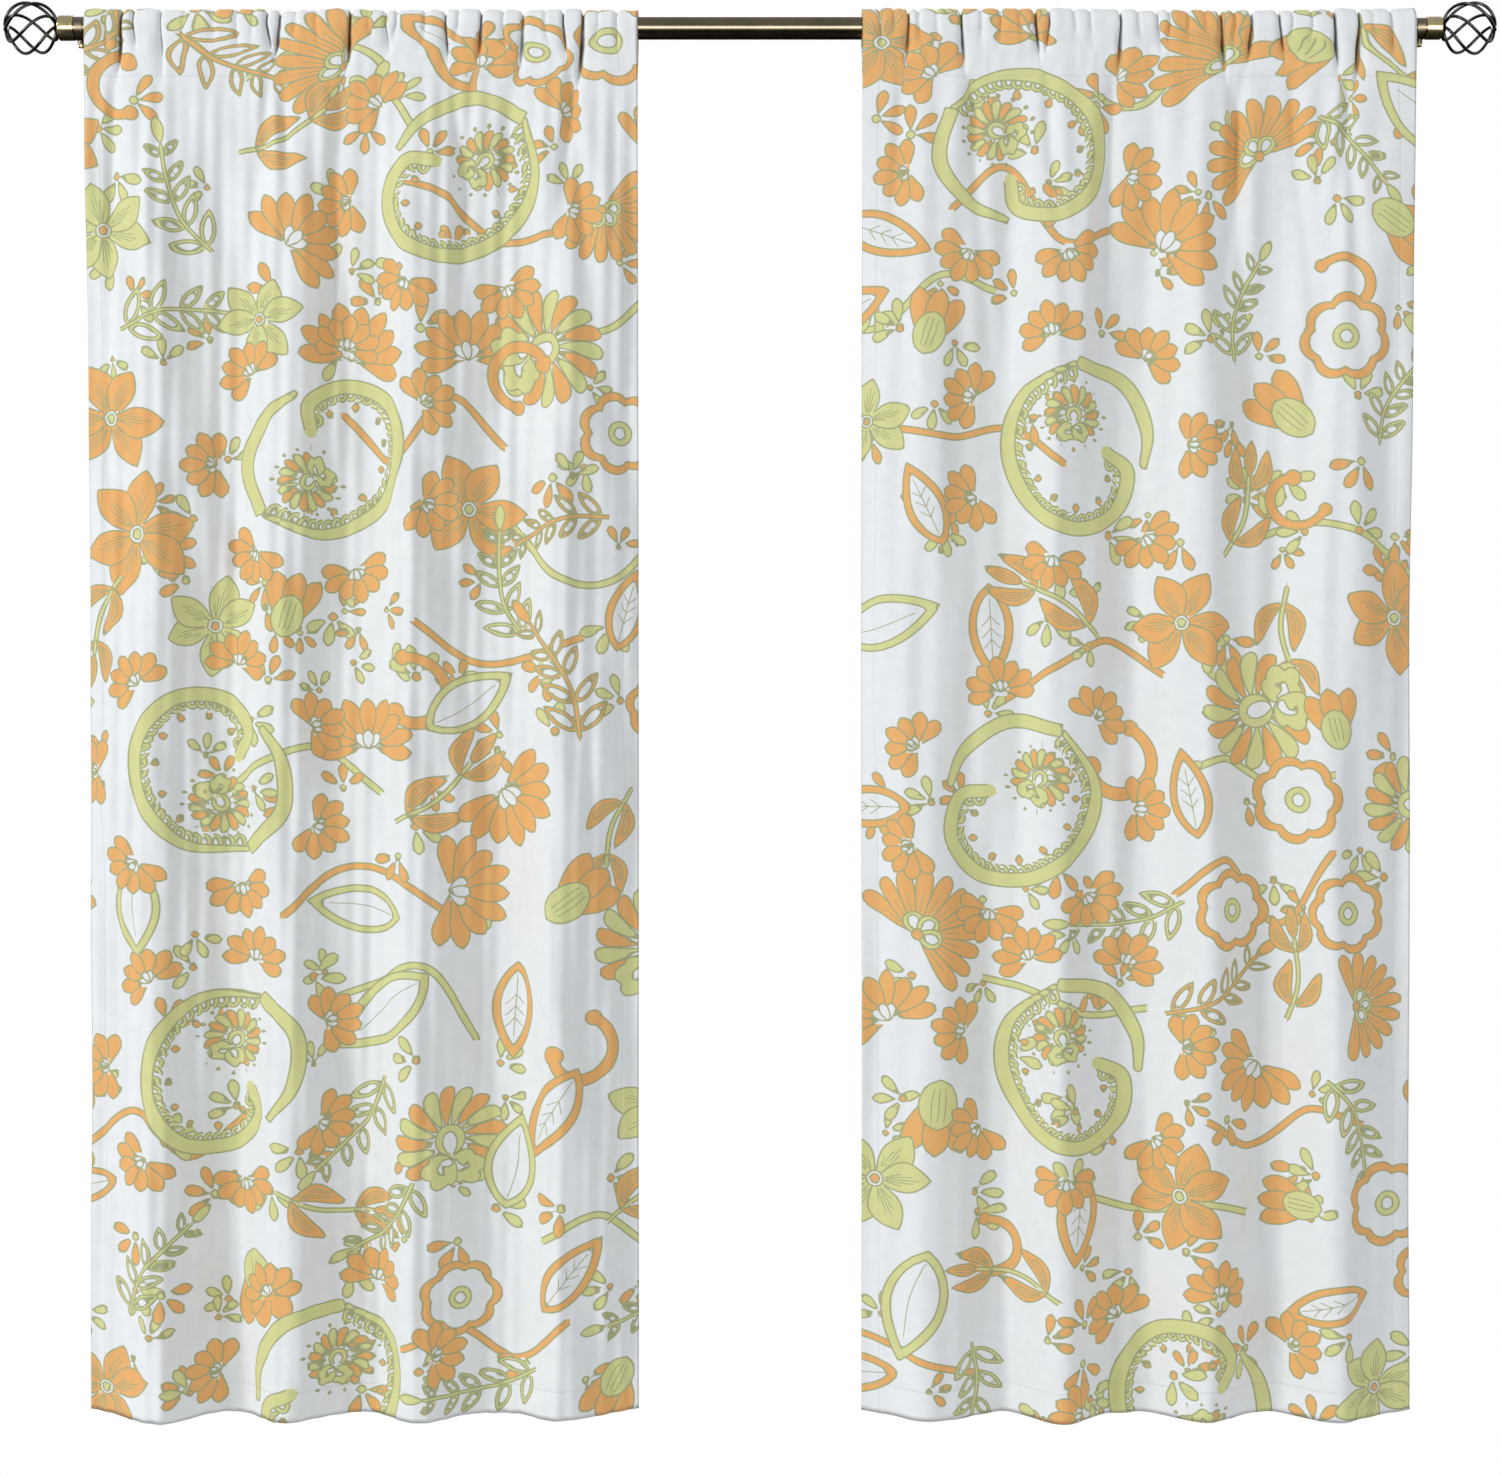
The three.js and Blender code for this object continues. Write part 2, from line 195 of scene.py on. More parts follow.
def add_node(tree, kind, inputs=None, **settings):
    """Adds a node, sets its properties, and sets or links its inputs."""
    node = tree.nodes.new("ShaderNode" + kind)
    for key, value in settings.items():
        setattr(node, key, value)
    for key, value in (inputs or {}).items():
        if isinstance(value, bpy.types.NodeSocket):
            tree.links.new(value, node.inputs[key])
        else:
            node.inputs[key].default_value = value
    return node


def math_node(tree, operation, a, b=None, clamp=False):
    inputs = {0: a}
    if b is not None:
        inputs[1] = b
    return add_node(tree, "Math", inputs, operation=operation, use_clamp=clamp).outputs[0]


def ramp_node(tree, factor, stops, interpolation="LINEAR"):
    node = add_node(tree, "ValToRGB", {0: factor})
    ramp = node.color_ramp
    ramp.interpolation = interpolation
    while len(ramp.elements) < len(stops):
        ramp.elements.new(1.0)
    for element, (place, colour) in zip(ramp.elements, stops):
        element.position = place
        element.color = (*colour, 1.0)
    return node.outputs[0]


def mix_colour(tree, factor, a, b, blend="MIX"):
    node = tree.nodes.new("ShaderNodeMix")
    node.data_type = "RGBA"
    node.blend_type = blend
    for socket, value in ((0, factor), (6, a), (7, b)):
        if isinstance(value, bpy.types.NodeSocket):
            tree.links.new(value, node.inputs[socket])
        elif socket == 0:
            node.inputs[0].default_value = value
        else:
            node.inputs[socket].default_value = (*value, 1.0)
    return node.outputs[2]


def fade(tree, value, start, end):
    """1 up to start, 0 from end on."""
    return add_node(tree, "MapRange", {0: value, 1: start, 2: end, 3: 1.0, 4: 0.0}, clamp=True).outputs[0]


# ---------------------------------------------------------------- the print

GROUND, ORANGE, GREEN, LINE = range(4)
INKS = 4
OUTLINE_HALF = 0.85
LAYERS = 3
AREA_OFFSET = 1000.0


def turn_points(points, degrees):
    angle = math.radians(degrees)
    c, s = math.cos(angle), math.sin(angle)
    return points @ np.array([[c, s], [-s, c]])


def smooth_path(points, step=6.0, closed=False):
    """A smooth curve through a few points, sampled about every step."""
    p = np.asarray(points, float)
    count = len(p)
    ends = [p[-1], *p, p[0], p[1]] if closed else [2 * p[0] - p[1], *p, 2 * p[-1] - p[-2]]
    out = []
    for i in range(count if closed else count - 1):
        a, b, c, d = ends[i:i + 4]
        pieces = max(2, int(np.linalg.norm(c - b) / step))
        for t in np.arange(pieces) / pieces:
            out.append(0.5 * (2 * b + (c - a) * t + (2 * a - 5 * b + 4 * c - d) * t ** 2
                              + (3 * b - a - 3 * c + d) * t ** 3))
    if not closed:
        out.append(p[-1])
    return np.array(out)


def side_normals(path):
    along = np.gradient(path, axis=0)
    along /= np.linalg.norm(along, axis=1)[:, None] + 1e-9
    return np.stack([-along[:, 1], along[:, 0]], 1)


def petal_outline(length, width, belly=0.55, point=0.8, start=0.0, count=13):
    """A petal along +X from start: belly is where it is widest, and a larger point gives a sharper end."""
    t = np.linspace(0, 1, count)
    half = width / 2 * np.sin(np.pi * t ** (math.log(0.5) / math.log(belly))) ** point
    x = start + length * t
    return np.concatenate([np.stack([x, half], 1), np.stack([x[-2:0:-1], -half[-2:0:-1]], 1)])


def club_outline(length, width, start=0.0, count=15, point=0.5):
    """A petal with a narrow foot and a round end, or a pointed one as point nears 1."""
    t = 1 - (1 - np.linspace(0, 1, count)) ** 1.6
    half = t ** 0.9 * np.clip(1 - t ** 6, 0, 1) ** point
    half *= width / 2 / half.max()
    x = start + length * t
    return np.concatenate([np.stack([x, half], 1), np.stack([x[-2:0:-1], -half[-2:0:-1]], 1)])


def circle_outline(radius, count=24):
    angle = np.linspace(0, 2 * np.pi, count, endpoint=False)
    return radius * np.stack([np.cos(angle), np.sin(angle)], 1)


class Print:
    """The printed shapes in the order they lie, later ones on top. Places are millimetres across and down the panel."""

    def __init__(self):
        self.shapes = []
        self.here = [(0.0, 0.0, 0.0, 1.0, 1.0)]

    # Where the next motif goes: x, y, turned by degrees, scaled, and mirrored if flip is -1.
    def at(self, x, y, degrees=0.0, size=1.0, flip=1.0):
        self.here.append((x, y, degrees, size, flip))
        return self

    def __enter__(self):
        return self

    def __exit__(self, *_):
        self.here.pop()

    def _placed(self, points):
        for x, y, degrees, size, flip in reversed(self.here):
            points = turn_points(points * [size, size * flip], degrees) + [x, y]
        return points

    def area(self, outline, ink, edge=True):
        self.shapes.append((self._placed(np.asarray(outline, float)), 0.0, ink, edge))

    def stroke(self, path, half, ink=LINE, edge=False):
        self.shapes.append((self._placed(np.asarray(path, float)), half, ink, edge))

    def band(self, path, halves, ink):
        """A strip of changing width along a path, with rounded-off ends."""
        normals = side_normals(path)
        halves = np.interp(np.linspace(0, 1, len(path)), np.linspace(0, 1, len(halves)), halves)[:, None]
        self.area(np.concatenate([path + normals * halves, (path - normals * halves)[::-1]]), ink)

    # ---- single motifs ----

    def drop(self, length, width, ink):
        self.area(petal_outline(length, width, belly=0.66, point=0.75), ink)

    def fan(self, radius, petals, spread=196.0):
        """A flower of pointed petals that touch for most of their length, opening along +X."""
        angles = np.linspace(-spread / 2, spread / 2, petals)
        width = 0.72 * radius * math.radians(spread / (petals - 1)) * 1.02
        for i in sorted(range(petals), key=lambda k: -abs(k - (petals - 1) / 2)):
            reach = radius * (1.0 if i % 2 else 0.93)
            self.area(turn_points(petal_outline(reach, width, 0.7, 0.72), angles[i]), ORANGE)
        for angle in (-40, 40, 0):
            with self.at(0, 0, angle):
                self.area(petal_outline(0.38 * radius, 0.19 * radius, 0.6, 0.55, start=-0.04 * radius), GROUND)

    def daisy(self, radius, petals, spread=200.0):
        """Half a daisy of separate round petals with a looped heart, opening along +X."""
        width = 0.8 * radius * math.radians(spread / (petals - 1)) * 0.84
        for i in range(petals):
            angle = spread * (i / (petals - 1) - 0.5)
            self.area(turn_points(club_outline(radius, width), angle), ORANGE)
            self.stroke(turn_points(np.array([[0.3, 0], [0.45, 0], [0.62, 0]]) * radius, angle), 0.45)
        for angle in (-62, 0, 62):
            with self.at(0, 0, angle):
                self.area(petal_outline(0.36 * radius, 0.30 * radius, 0.6, 0.5), GREEN)
                self.area(petal_outline(0.24 * radius, 0.16 * radius, 0.6, 0.5, start=0.07 * radius), GROUND)
        self.area(circle_outline(0.085 * radius, 14), ORANGE)

    def plume(self, radius, petals=14, spread=276.0):
        """A big fan of bowed petals in both inks round a green crescent."""
        for i in range(petals):
            outline = club_outline(0.78 * radius, 0.29 * radius, start=0.22 * radius)
            outline[:, 1] += 0.2 * radius * (outline[:, 0] / radius) ** 2
            self.area(turn_points(outline, spread * (i / (petals - 1) - 0.5)), (ORANGE, GREEN)[i % 2])
        self.area(circle_outline(0.29 * radius, 30), GREEN)
        self.area(petal_outline(0.46 * radius, 0.28 * radius, 0.55, 0.5, start=-0.3 * radius), GROUND)
        with self.at(-0.42 * radius, 0, 180):
            for angle in (-58, 58):
                with self.at(0, 0, angle):
                    self.cloud(0.34 * radius)

    def cloud(self, size):
        """A lobed leaf with a white hook in it."""
        angle = np.linspace(0, 2 * np.pi, 60, endpoint=False)
        reach = size * (0.82 + 0.2 * np.abs(np.sin(2.5 * angle)) ** 0.8)
        self.area(reach[:, None] * np.stack([np.cos(angle) + 0.9, np.sin(angle)], 1), GREEN)
        hook = smooth_path(np.array([[0.0, 0.0], [0.55, 0.22], [0.95, 0.0], [0.78, -0.26]]) * size, 3)
        self.band(hook, (0.24 * size, 0.2 * size, 0.14 * size, 0.05 * size), GROUND)

    def star(self, radius, ink, petals=6):
        """A flower of pointed petals with fine veins, a ring and a dot."""
        width = radius * 3.25 / petals
        veins = (-0.10, -0.055, 0.0, 0.055, 0.10)
        for i in range(petals):
            angle = 360 * i / petals + (4 if i % 2 else -3)
            reach = radius * (1.0, 0.9, 0.97)[i % 3]
            outline = petal_outline(reach, width, 0.54, 0.92)
            outline[:, 1] += 0.05 * radius * np.sin(np.pi * outline[:, 0] / reach) * (1 if i % 2 else -1)
            self.area(turn_points(outline, angle), ink)
            for k, bend in enumerate(veins):
                end = (0.42, 0.58, 0.7, 0.6, 0.4)[k]
                path = np.array([[0.15, 0.25 * bend], [0.3, 0.75 * bend], [end, 1.05 * bend]])
                self.stroke(turn_points(path * radius, angle), 0.5)
        self.area(circle_outline(0.14 * radius), GROUND)
        self.area(circle_outline(0.085 * radius, 16), ORANGE if ink == GREEN else GREEN)

    def round_flower(self, radius, lobes=7):
        angle = np.linspace(0, 2 * np.pi, 84, endpoint=False)
        wave = 0.84 + 0.16 * np.abs(np.cos(lobes * angle / 2)) ** 0.7
        outline = (radius * wave)[:, None] * np.stack([np.cos(angle), np.sin(angle)], 1)
        self.area(outline, ORANGE)
        self.area(outline * 0.8, GROUND)
        self.area(circle_outline(0.29 * radius), GREEN)
        self.area(circle_outline(0.15 * radius, 16), GROUND)

    def banded_leaf(self, length, width, ink, belly=0.45, vein=True):
        """A leaf drawn as a coloured rim round a white middle, with fishbone veins."""
        rim = min(0.19 * width, 7.5)
        self.area(petal_outline(length, width, belly, 0.85), ink)
        self.area(petal_outline(length - 3.2 * rim, width - 2.2 * rim, belly, 0.85, start=1.3 * rim), GROUND)
        if vein:
            bow = 0.08 * width if width > 60 else 0
            self.stroke(smooth_path(np.array([[2 * rim, 0], [length * 0.45, bow], [length * 0.78, 0.2 * bow]]), 9), 0.5)
            if width < 60:
                for share in (0.34, 0.46, 0.58):
                    for side in (-1, 1):
                        tip = (share * length + 0.09 * length, side * 0.17 * width)
                        self.stroke(np.array([[share * length, 0], tip]), 0.5)

    def spray(self, path, pairs, length, width, ink, stem_half, lean=48.0, taper=0.45):
        """Leaves with a coloured rim, in pairs along a stem."""
        path = smooth_path(path, 7)
        away = side_normals(path)
        for k in range(pairs):
            share = 0.1 + 0.82 * k / max(1, pairs - 1)
            i = int(share * (len(path) - 1))
            heading = math.degrees(math.atan2(-away[i, 0], away[i, 1]))
            for side in (-1, 1):
                with self.at(*path[i], heading + side * lean, 1.0 - taper * share):
                    self.banded_leaf(length, width, ink, vein=False)
        self.stroke(path, stem_half, ink, edge=True)
        end = side_normals(path)[-1]
        with self.at(*path[-1], math.degrees(math.atan2(-end[0], end[1])), 0.7):
            self.area(petal_outline(length, width, 0.55, 0.7), ink)

    def curl(self, radius, turns=0.66, thick=0.13):
        """A C-shaped scroll with a ball at each end."""
        angle = np.linspace(0, 2 * np.pi * turns, 30)
        swell = radius * (1.0 - 0.4 * angle / angle[-1])
        path = np.stack([swell * np.cos(angle) - radius, swell * np.sin(angle)], 1)
        for k, size in ((0, 0.2), (-1, 0.25)):
            with self.at(*path[k]):
                self.area(circle_outline(size * radius), ORANGE)
        self.band(path, (thick * radius, 1.05 * thick * radius, 1.25 * thick * radius, thick * radius), ORANGE)
        for k, size in ((0, 0.16), (-1, 0.21)):
            with self.at(*path[k]):
                self.area(circle_outline(size * radius), ORANGE, edge=False)

    def tendril(self, path, half, ink):
        self.stroke(smooth_path(path, 6), half, ink, edge=True)

    def bell_bud(self, length):
        """A striped cup with a few petals showing, on +X."""
        for i in (-1, 1, 0):
            self.area(turn_points(petal_outline(1.1 * length, 0.34 * length, 0.72, 0.6), 19 * i), ORANGE)
        self.area(petal_outline(0.72 * length, 0.5 * length, 0.5, 0.5), GREEN)
        for bend in (-0.09, 0, 0.09):
            self.stroke(np.array([[0.15, 0.8 * bend], [0.36, bend], [0.6, 0.9 * bend]]) * length, 0.55)

    def sprig(self, size, ink):
        """Three drops fanning out from a dot."""
        for angle in (-52, 0, 52):
            with self.at(0, 0, angle):
                self.area(petal_outline(size, 0.42 * size, 0.66, 0.6, start=0.2 * size), ink)
        self.area(circle_outline(0.17 * size, 14), ORANGE if ink == GREEN else GREEN)

    def lace(self, path, size):
        """Open scallops with a white petal in each, along one side of a path, and a drop at every fourth."""
        path = smooth_path(path, size)
        out = side_normals(path)
        for k, (place, normal) in enumerate(zip(path[1:-1], out[1:-1])):
            with self.at(*place, math.degrees(math.atan2(normal[1], normal[0]))):
                if k % 4 == 3:
                    with self.at(1.55 * size, 0):
                        self.drop(1.3 * size, 0.8 * size, ORANGE)
                arch = np.array([[0.3, -0.56], [1.1, -0.5], [1.5, 0.0], [1.1, 0.5], [0.3, 0.56]]) * size
                self.area(club_outline(1.5 * size, 1.1 * size), GROUND, edge=False)
                self.stroke(smooth_path(arch, 3), 1.9, GREEN, edge=True)
                self.area(petal_outline(1.15 * size, 0.62 * size, 0.5, 0.6, start=0.2 * size), GROUND)

    def tulips(self, path, nodes, length):
        """Pairs of long solid leaves along a green stem, with a bud at its tip."""
        path = smooth_path(path, 8)
        away = side_normals(path)
        self.stroke(path, 2.3, GREEN, edge=True)
        for k in range(nodes):
            i = int((0.2 + 0.66 * k / max(1, nodes - 1)) * (len(path) - 1))
            heading = math.degrees(math.atan2(-away[i, 0], away[i, 1]))
            for turn in (-1, 1):
                with self.at(*path[i], heading + 26 * turn, (1.0, 0.92, 0.82, 0.7)[k], -turn):
                    outline = petal_outline(length, 0.33 * length, 0.5, 0.9)
                    outline[:, 1] -= 0.12 * length * np.sin(1.25 * np.pi * outline[:, 0] / length)
                    self.area(outline, ORANGE)
                    for bend in (-0.08, -0.03, 0.03, 0.08):
                        curve = np.array([[0.16, -0.06 + 0.4 * bend], [0.45, -0.11 + bend], [0.7, -0.05 + 0.7 * bend]])
                        self.stroke(smooth_path(curve * length, 9), 0.5)
        end = away[-1]
        with self.at(*path[-1], math.degrees(math.atan2(-end[0], end[1]))):
            self.area(petal_outline(0.72 * length, 0.24 * length, 0.45, 0.8), ORANGE)
            for bend in (-0.04, 0.0, 0.04):
                self.stroke(np.array([[0.12, bend], [0.3, 1.2 * bend], [0.52, bend]]) * length, 0.5)

    def paisley(self, spine, head, body, band, lace):
        """A teardrop of green band: a spine that curls at its tip, a round body, and a plume of petals inside."""
        path = smooth_path(spine, 7)
        self.lace(spine, lace)
        self.band(path, (3.0, band, 1.12 * band, 1.12 * band, band), GREEN)
        with self.at(*path[-1]):
            self.area(circle_outline(0.98 * band), GREEN, edge=False)
        self.band(smooth_path(head, 7), (band, 1.1 * band, band, 0.5 * band), GREEN)
        x, y, radius, turn = body
        with self.at(x, y, turn):
            for i in range(16):
                with self.at(0, 0, 360 * i / 16):
                    self.area(petal_outline(0.14 * radius, 0.085 * radius, 0.66, 0.6, start=0.86 * radius), ORANGE)
            self.plume(0.8 * radius)


def side_distance(points, path):
    """The signed distance to an open path, positive on its left, and whether the nearest place is past an end."""
    a, b = path[:-1], path[1:]
    ab = b - a
    ap = points[:, None, :] - a[None]
    share = (ap * ab).sum(2) / ((ab * ab).sum(1) + 1e-9)
    gap = ap - np.clip(share, 0, 1)[..., None] * ab
    distance = np.sqrt((gap * gap).sum(2))
    near = distance.argmin(1)
    rows = np.arange(len(points))
    cross = ab[near, 0] * ap[rows, near, 1] - ab[near, 1] * ap[rows, near, 0]
    past = ((near == 0) & (share[rows, 0] < 0)) | ((near == len(a) - 1) & (share[rows, -1] > 1))
    return distance[rows, near] * np.where(cross < 0, -1, 1), past


def area_distance(points, outline):
    """The distance to a closed outline, negative inside."""
    a, b = outline, np.roll(outline, -1, 0)
    ab = b - a
    ap = points[:, None, :] - a[None]
    share = np.clip((ap * ab).sum(2) / ((ab * ab).sum(1) + 1e-9), 0, 1)
    gap = ap - share[..., None] * ab
    distance = np.sqrt((gap * gap).sum(2).min(1))
    y = points[:, None, 1]
    crosses = (a[None, :, 1] > y) != (b[None, :, 1] > y)
    slope = np.where(np.abs(ab[:, 1]) < 1e-9, 1e-9, ab[:, 1])
    at_x = a[None, :, 0] + (y - a[None, :, 1]) * ab[None, :, 0] / slope
    inside = (crosses & (points[:, None, 0] < at_x)).sum(1) % 2 == 1
    return np.where(inside, -distance, distance)


def ink_cells(shapes, across, down):
    """Which shapes touch each cell of the cloth. Gives each cell's base ink, and for each of a few layers the
    corner distances, the stroke's half width and the ink."""
    columns, rows = len(across) - 1, len(down) - 1
    base = np.zeros((rows, columns))
    corner = np.full((LAYERS, rows, columns, 4), 2 * AREA_OFFSET)
    half = np.full((LAYERS, rows, columns), AREA_OFFSET)
    ink = np.zeros((LAYERS, rows, columns))
    used = np.zeros((rows, columns), int)
    margin = OUTLINE_HALF + 0.6
    for outline, half_width, colour, edge in shapes:
        low = outline.min(0) - margin - half_width
        high = outline.max(0) + margin + half_width
        j0, j1 = np.searchsorted(across, (low[0], high[0]))
        i0, i1 = np.searchsorted(down, (low[1], high[1]))
        j0, i0 = max(0, j0 - 1), max(0, i0 - 1)
        j1, i1 = min(columns, j1), min(rows, i1)
        if j1 <= j0 or i1 <= i0:
            continue
        x, y = np.meshgrid(across[j0:j1 + 1], down[i0:i1 + 1])
        points = np.stack([x.ravel(), y.ravel()], 1)
        if half_width:
            distance, past = side_distance(points, outline)
            past = past.reshape(x.shape)
            many_past = (past[:-1, :-1].astype(int) + past[:-1, 1:] + past[1:, 1:] + past[1:, :-1]) > 2
            offset = half_width
        else:
            distance = area_distance(points, outline) + AREA_OFFSET
            many_past = False
            offset = AREA_OFFSET
        d = distance.reshape(x.shape)
        corners = np.stack([d[:-1, :-1], d[:-1, 1:], d[1:, 1:], d[1:, :-1]], -1)
        beyond = np.abs(corners) - offset
        spans = corners.min(-1) * corners.max(-1) < 0
        touched = ((beyond.min(-1) < (margin if edge else 0.6)) | spans) & ~np.asarray(many_past)
        covered = touched & (beyond.max(-1) < -margin)
        partial = touched & ~covered
        window = (slice(i0, i1), slice(j0, j1))
        base[window][covered] = colour
        used[window][covered] = 0
        full = np.zeros_like(used, bool)
        full[window] = partial & (used[window] >= LAYERS)
        if full.any():
            lost = (np.abs(corner[0][full]) - half[0][full][:, None]).mean(1) < 0
            base[full] = np.where(lost, ink[0][full] % INKS, base[full])
            for layer in range(LAYERS - 1):
                corner[layer][full] = corner[layer + 1][full]
                half[layer][full] = half[layer + 1][full]
                ink[layer][full] = ink[layer + 1][full]
            used[full] -= 1
        i, j = np.nonzero(partial)
        layer = used[i + i0, j + j0]
        corner[layer, i + i0, j + j0] = corners[i, j]
        half[layer, i + i0, j + j0] = offset
        ink[layer, i + i0, j + j0] = colour + (INKS if edge else 0)
        used[i + i0, j + j0] += 1
    unused = np.arange(LAYERS)[:, None, None] >= used[None]
    corner[unused] = 2 * AREA_OFFSET
    half[unused] = AREA_OFFSET
    return base, corner, half, ink


PAISLEY_SPINE = [(20, 150), (-46, 112), (-66, 44), (-40, -26), (18, -58), (74, -36), (90, 16), (62, 40)]
PAISLEY_HEAD = [(20, 150), (84, 128), (112, 70), (108, 20)]
MOTIF_SPACING = 118.0
ROW_SHARE = 0.92  # the rows of motifs lie this much closer than the motifs in a row
MOTIF_ROWS, MOTIF_COLUMNS = 16, 7
MOTIF_JITTER = 15
STEM_COUNT, STEM_SPACING, STEM_RUN, STEM_HALF = 13, 130, 62, 3.6
SPRIG_COUNT = 150
FOOT_TO_MIDDLE = 34
PAISLEY_COUNT, PAISLEY_SPACING = 5, 350
PAISLEY_ROOM = 150  # no other motif starts nearer to a paisley's middle
PAISLEY_RING, PAISLEY_RING_FLOWERS = 128, 7


def strewn_print(side):
    """Flowers, leaves and scrolls strewn over one panel, each with its own turn and size."""
    p = Print()
    rng = np.random.default_rng(5 if side == "left" else 17)
    # Long stems first, so that flowers lie on them.
    for k in range(STEM_COUNT):
        x, y = rng.uniform(-60, 560), -60 + STEM_SPACING * k
        bends = rng.uniform(-46, 46, 4)
        p.tendril([(x + STEM_RUN * i, y + bends[i]) for i in range(4)], STEM_HALF, (ORANGE, GREEN)[k % 2])
    # Small leaves that fill the spaces, under the rest.
    for _ in range(SPRIG_COUNT):
        with p.at(rng.uniform(-10, 640), rng.uniform(-100, 1620), rng.uniform(0, 360)):
            p.sprig(rng.uniform(20, 30), (GREEN, ORANGE)[rng.integers(2)])
    paisleys = [(rng.uniform(130, 490), 150 + PAISLEY_SPACING * k + rng.uniform(-30, 30))
                for k in range(PAISLEY_COUNT)]
    # Each motif, and whether it grows from its foot.
    makers = ((lambda: p.star(62, GREEN), 0), (lambda: p.star(66, ORANGE), 0), (lambda: p.round_flower(46), 0),
              (lambda: p.fan(66, 9), 1), (lambda: p.daisy(68, 11), 1), (lambda: p.banded_leaf(124, 62, GREEN), 1),
              (lambda: p.banded_leaf(112, 48, ORANGE), 1), (lambda: p.curl(42), 1), (lambda: p.bell_bud(74), 1),
              (lambda: p.spray([(0, 0), (44, 8), (88, 2), (130, -12)], 5, 46, 17, ORANGE, 2.0), 1),
              (lambda: p.spray([(0, 0), (42, -8), (86, 0), (126, 14)], 5, 44, 17, GREEN, 1.8), 1),
              (lambda: p.plume(62), 1), (lambda: p.tulips([(0, 0), (50, 10), (104, 0)], 2, 62), 1))
    for row in range(MOTIF_ROWS):
        for column in range(MOTIF_COLUMNS):
            x = (column - 0.4 + 0.5 * (row % 2)) * MOTIF_SPACING + rng.uniform(-MOTIF_JITTER, MOTIF_JITTER)
            y = -90 + row * ROW_SHARE * MOTIF_SPACING + rng.uniform(-MOTIF_JITTER, MOTIF_JITTER)
            turn, size, kind = rng.uniform(0, 360), rng.uniform(0.85, 1.1), rng.integers(len(makers))
            if min(math.hypot(x - px, y - py) for px, py in paisleys) < PAISLEY_ROOM:
                continue
            make, from_foot = makers[kind]
            # A motif that grows from its foot is moved back, so that its middle is in its place.
            back = FOOT_TO_MIDDLE * from_foot
            angle = math.radians(turn)
            with p.at(x - back * math.cos(angle), y - back * math.sin(angle), turn, size):
                make()
    for k, (x, y) in enumerate(paisleys):
        turn = rng.uniform(0, 360)
        for i in range(PAISLEY_RING_FLOWERS):
            facing = turn + 360 * i / PAISLEY_RING_FLOWERS
            around = math.radians(facing)
            with p.at(x + PAISLEY_RING * math.cos(around), y + PAISLEY_RING * math.sin(around), facing):
                p.fan(40, 7)
        with p.at(x, y, turn, 0.9, (1, -1)[k % 2]):
            with p.at(-22, -46):
                p.paisley(PAISLEY_SPINE, PAISLEY_HEAD, (16, 84, 46, 90), band=8, lace=11)
    return p.shapes


# ---------------------------------------------------------------- the cloth's shape

CREASES = {  # place across the panel, depth share, length, lean: all lengths in millimetres
    "left": ((24, 0.5, 40, 3), (41, 1.1, 84, -4), (55, 0.9, 42, 6), (86, 0.8, 85, 6), (112, 0.4, 30, -3),
             (146, 0.35, 28, 4), (172, 0.5, 38, 4), (190, 0.4, 30, -3), (206, 1.1, 48, 9), (220, 1.2, 62, -8),
             (238, 0.4, 26, -4), (262, 0.45, 34, 3), (300, 1.2, 72, -5), (322, 0.4, 26, 4), (340, 0.8, 46, 8),
             (352, 0.6, 36, -8), (384, 0.5, 40, -4), (408, 1.1, 66, 5), (422, 0.5, 30, -6), (448, 1.1, 58, -6),
             (473, 0.7, 44, 5), (495, 1.0, 82, -6), (521, 0.5, 34, 5), (541, 1.1, 52, 6), (563, 1.3, 108, -8),
             (580, 0.45, 30, -4), (601, 0.6, 44, 3)),
    "right": ((20, 0.6, 42, 3), (35, 0.4, 28, -3), (52, 1.0, 62, -5), (64, 0.6, 36, 6), (84, 0.45, 32, 4),
              (112, 1.1, 80, 6), (134, 0.4, 28, -3), (156, 0.5, 38, -4), (178, 0.4, 26, 3), (196, 1.1, 60, 7),
              (211, 0.9, 46, -7), (240, 0.4, 30, 4), (258, 0.6, 40, 4), (292, 1.1, 76, -5), (312, 0.4, 28, 4),
              (334, 0.8, 44, 6), (347, 0.6, 34, -6), (368, 0.5, 38, -4), (389, 0.4, 30, 3), (406, 1.2, 84, 6),
              (421, 0.6, 34, -6), (440, 1.2, 60, -7), (472, 1.1, 56, 8), (486, 0.6, 34, -7), (508, 0.5, 36, -4),
              (534, 1.2, 86, 6), (561, 1.2, 106, -8), (578, 0.45, 30, 4), (598, 0.7, 46, 3)),
}
FORWARD_FOLDS = {"left": (91, 233, 381, 536), "right": (80, 226, 389, 531)}
RECESSES = {"left": (160, 303, 464), "right": (160, 306, 458)}


def wave_noise(x, z, seed, scale_x, scale_z):
    """Smooth, repeatable unevenness made of a few slanted waves."""
    rng = np.random.default_rng(seed)
    total = 0.0
    for _ in range(7):
        kx, kz = rng.normal(0, 1.0, 2)
        total = total + np.sin(6.2832 * (kx * x / scale_x + kz * z / scale_z) + rng.uniform(0, 6.28))
    return total / math.sqrt(7 / 2) / 2


def smoothstep(x, low, high):
    t = np.clip((x - low) / (high - low), 0, 1)
    return t * t * (3 - 2 * t)


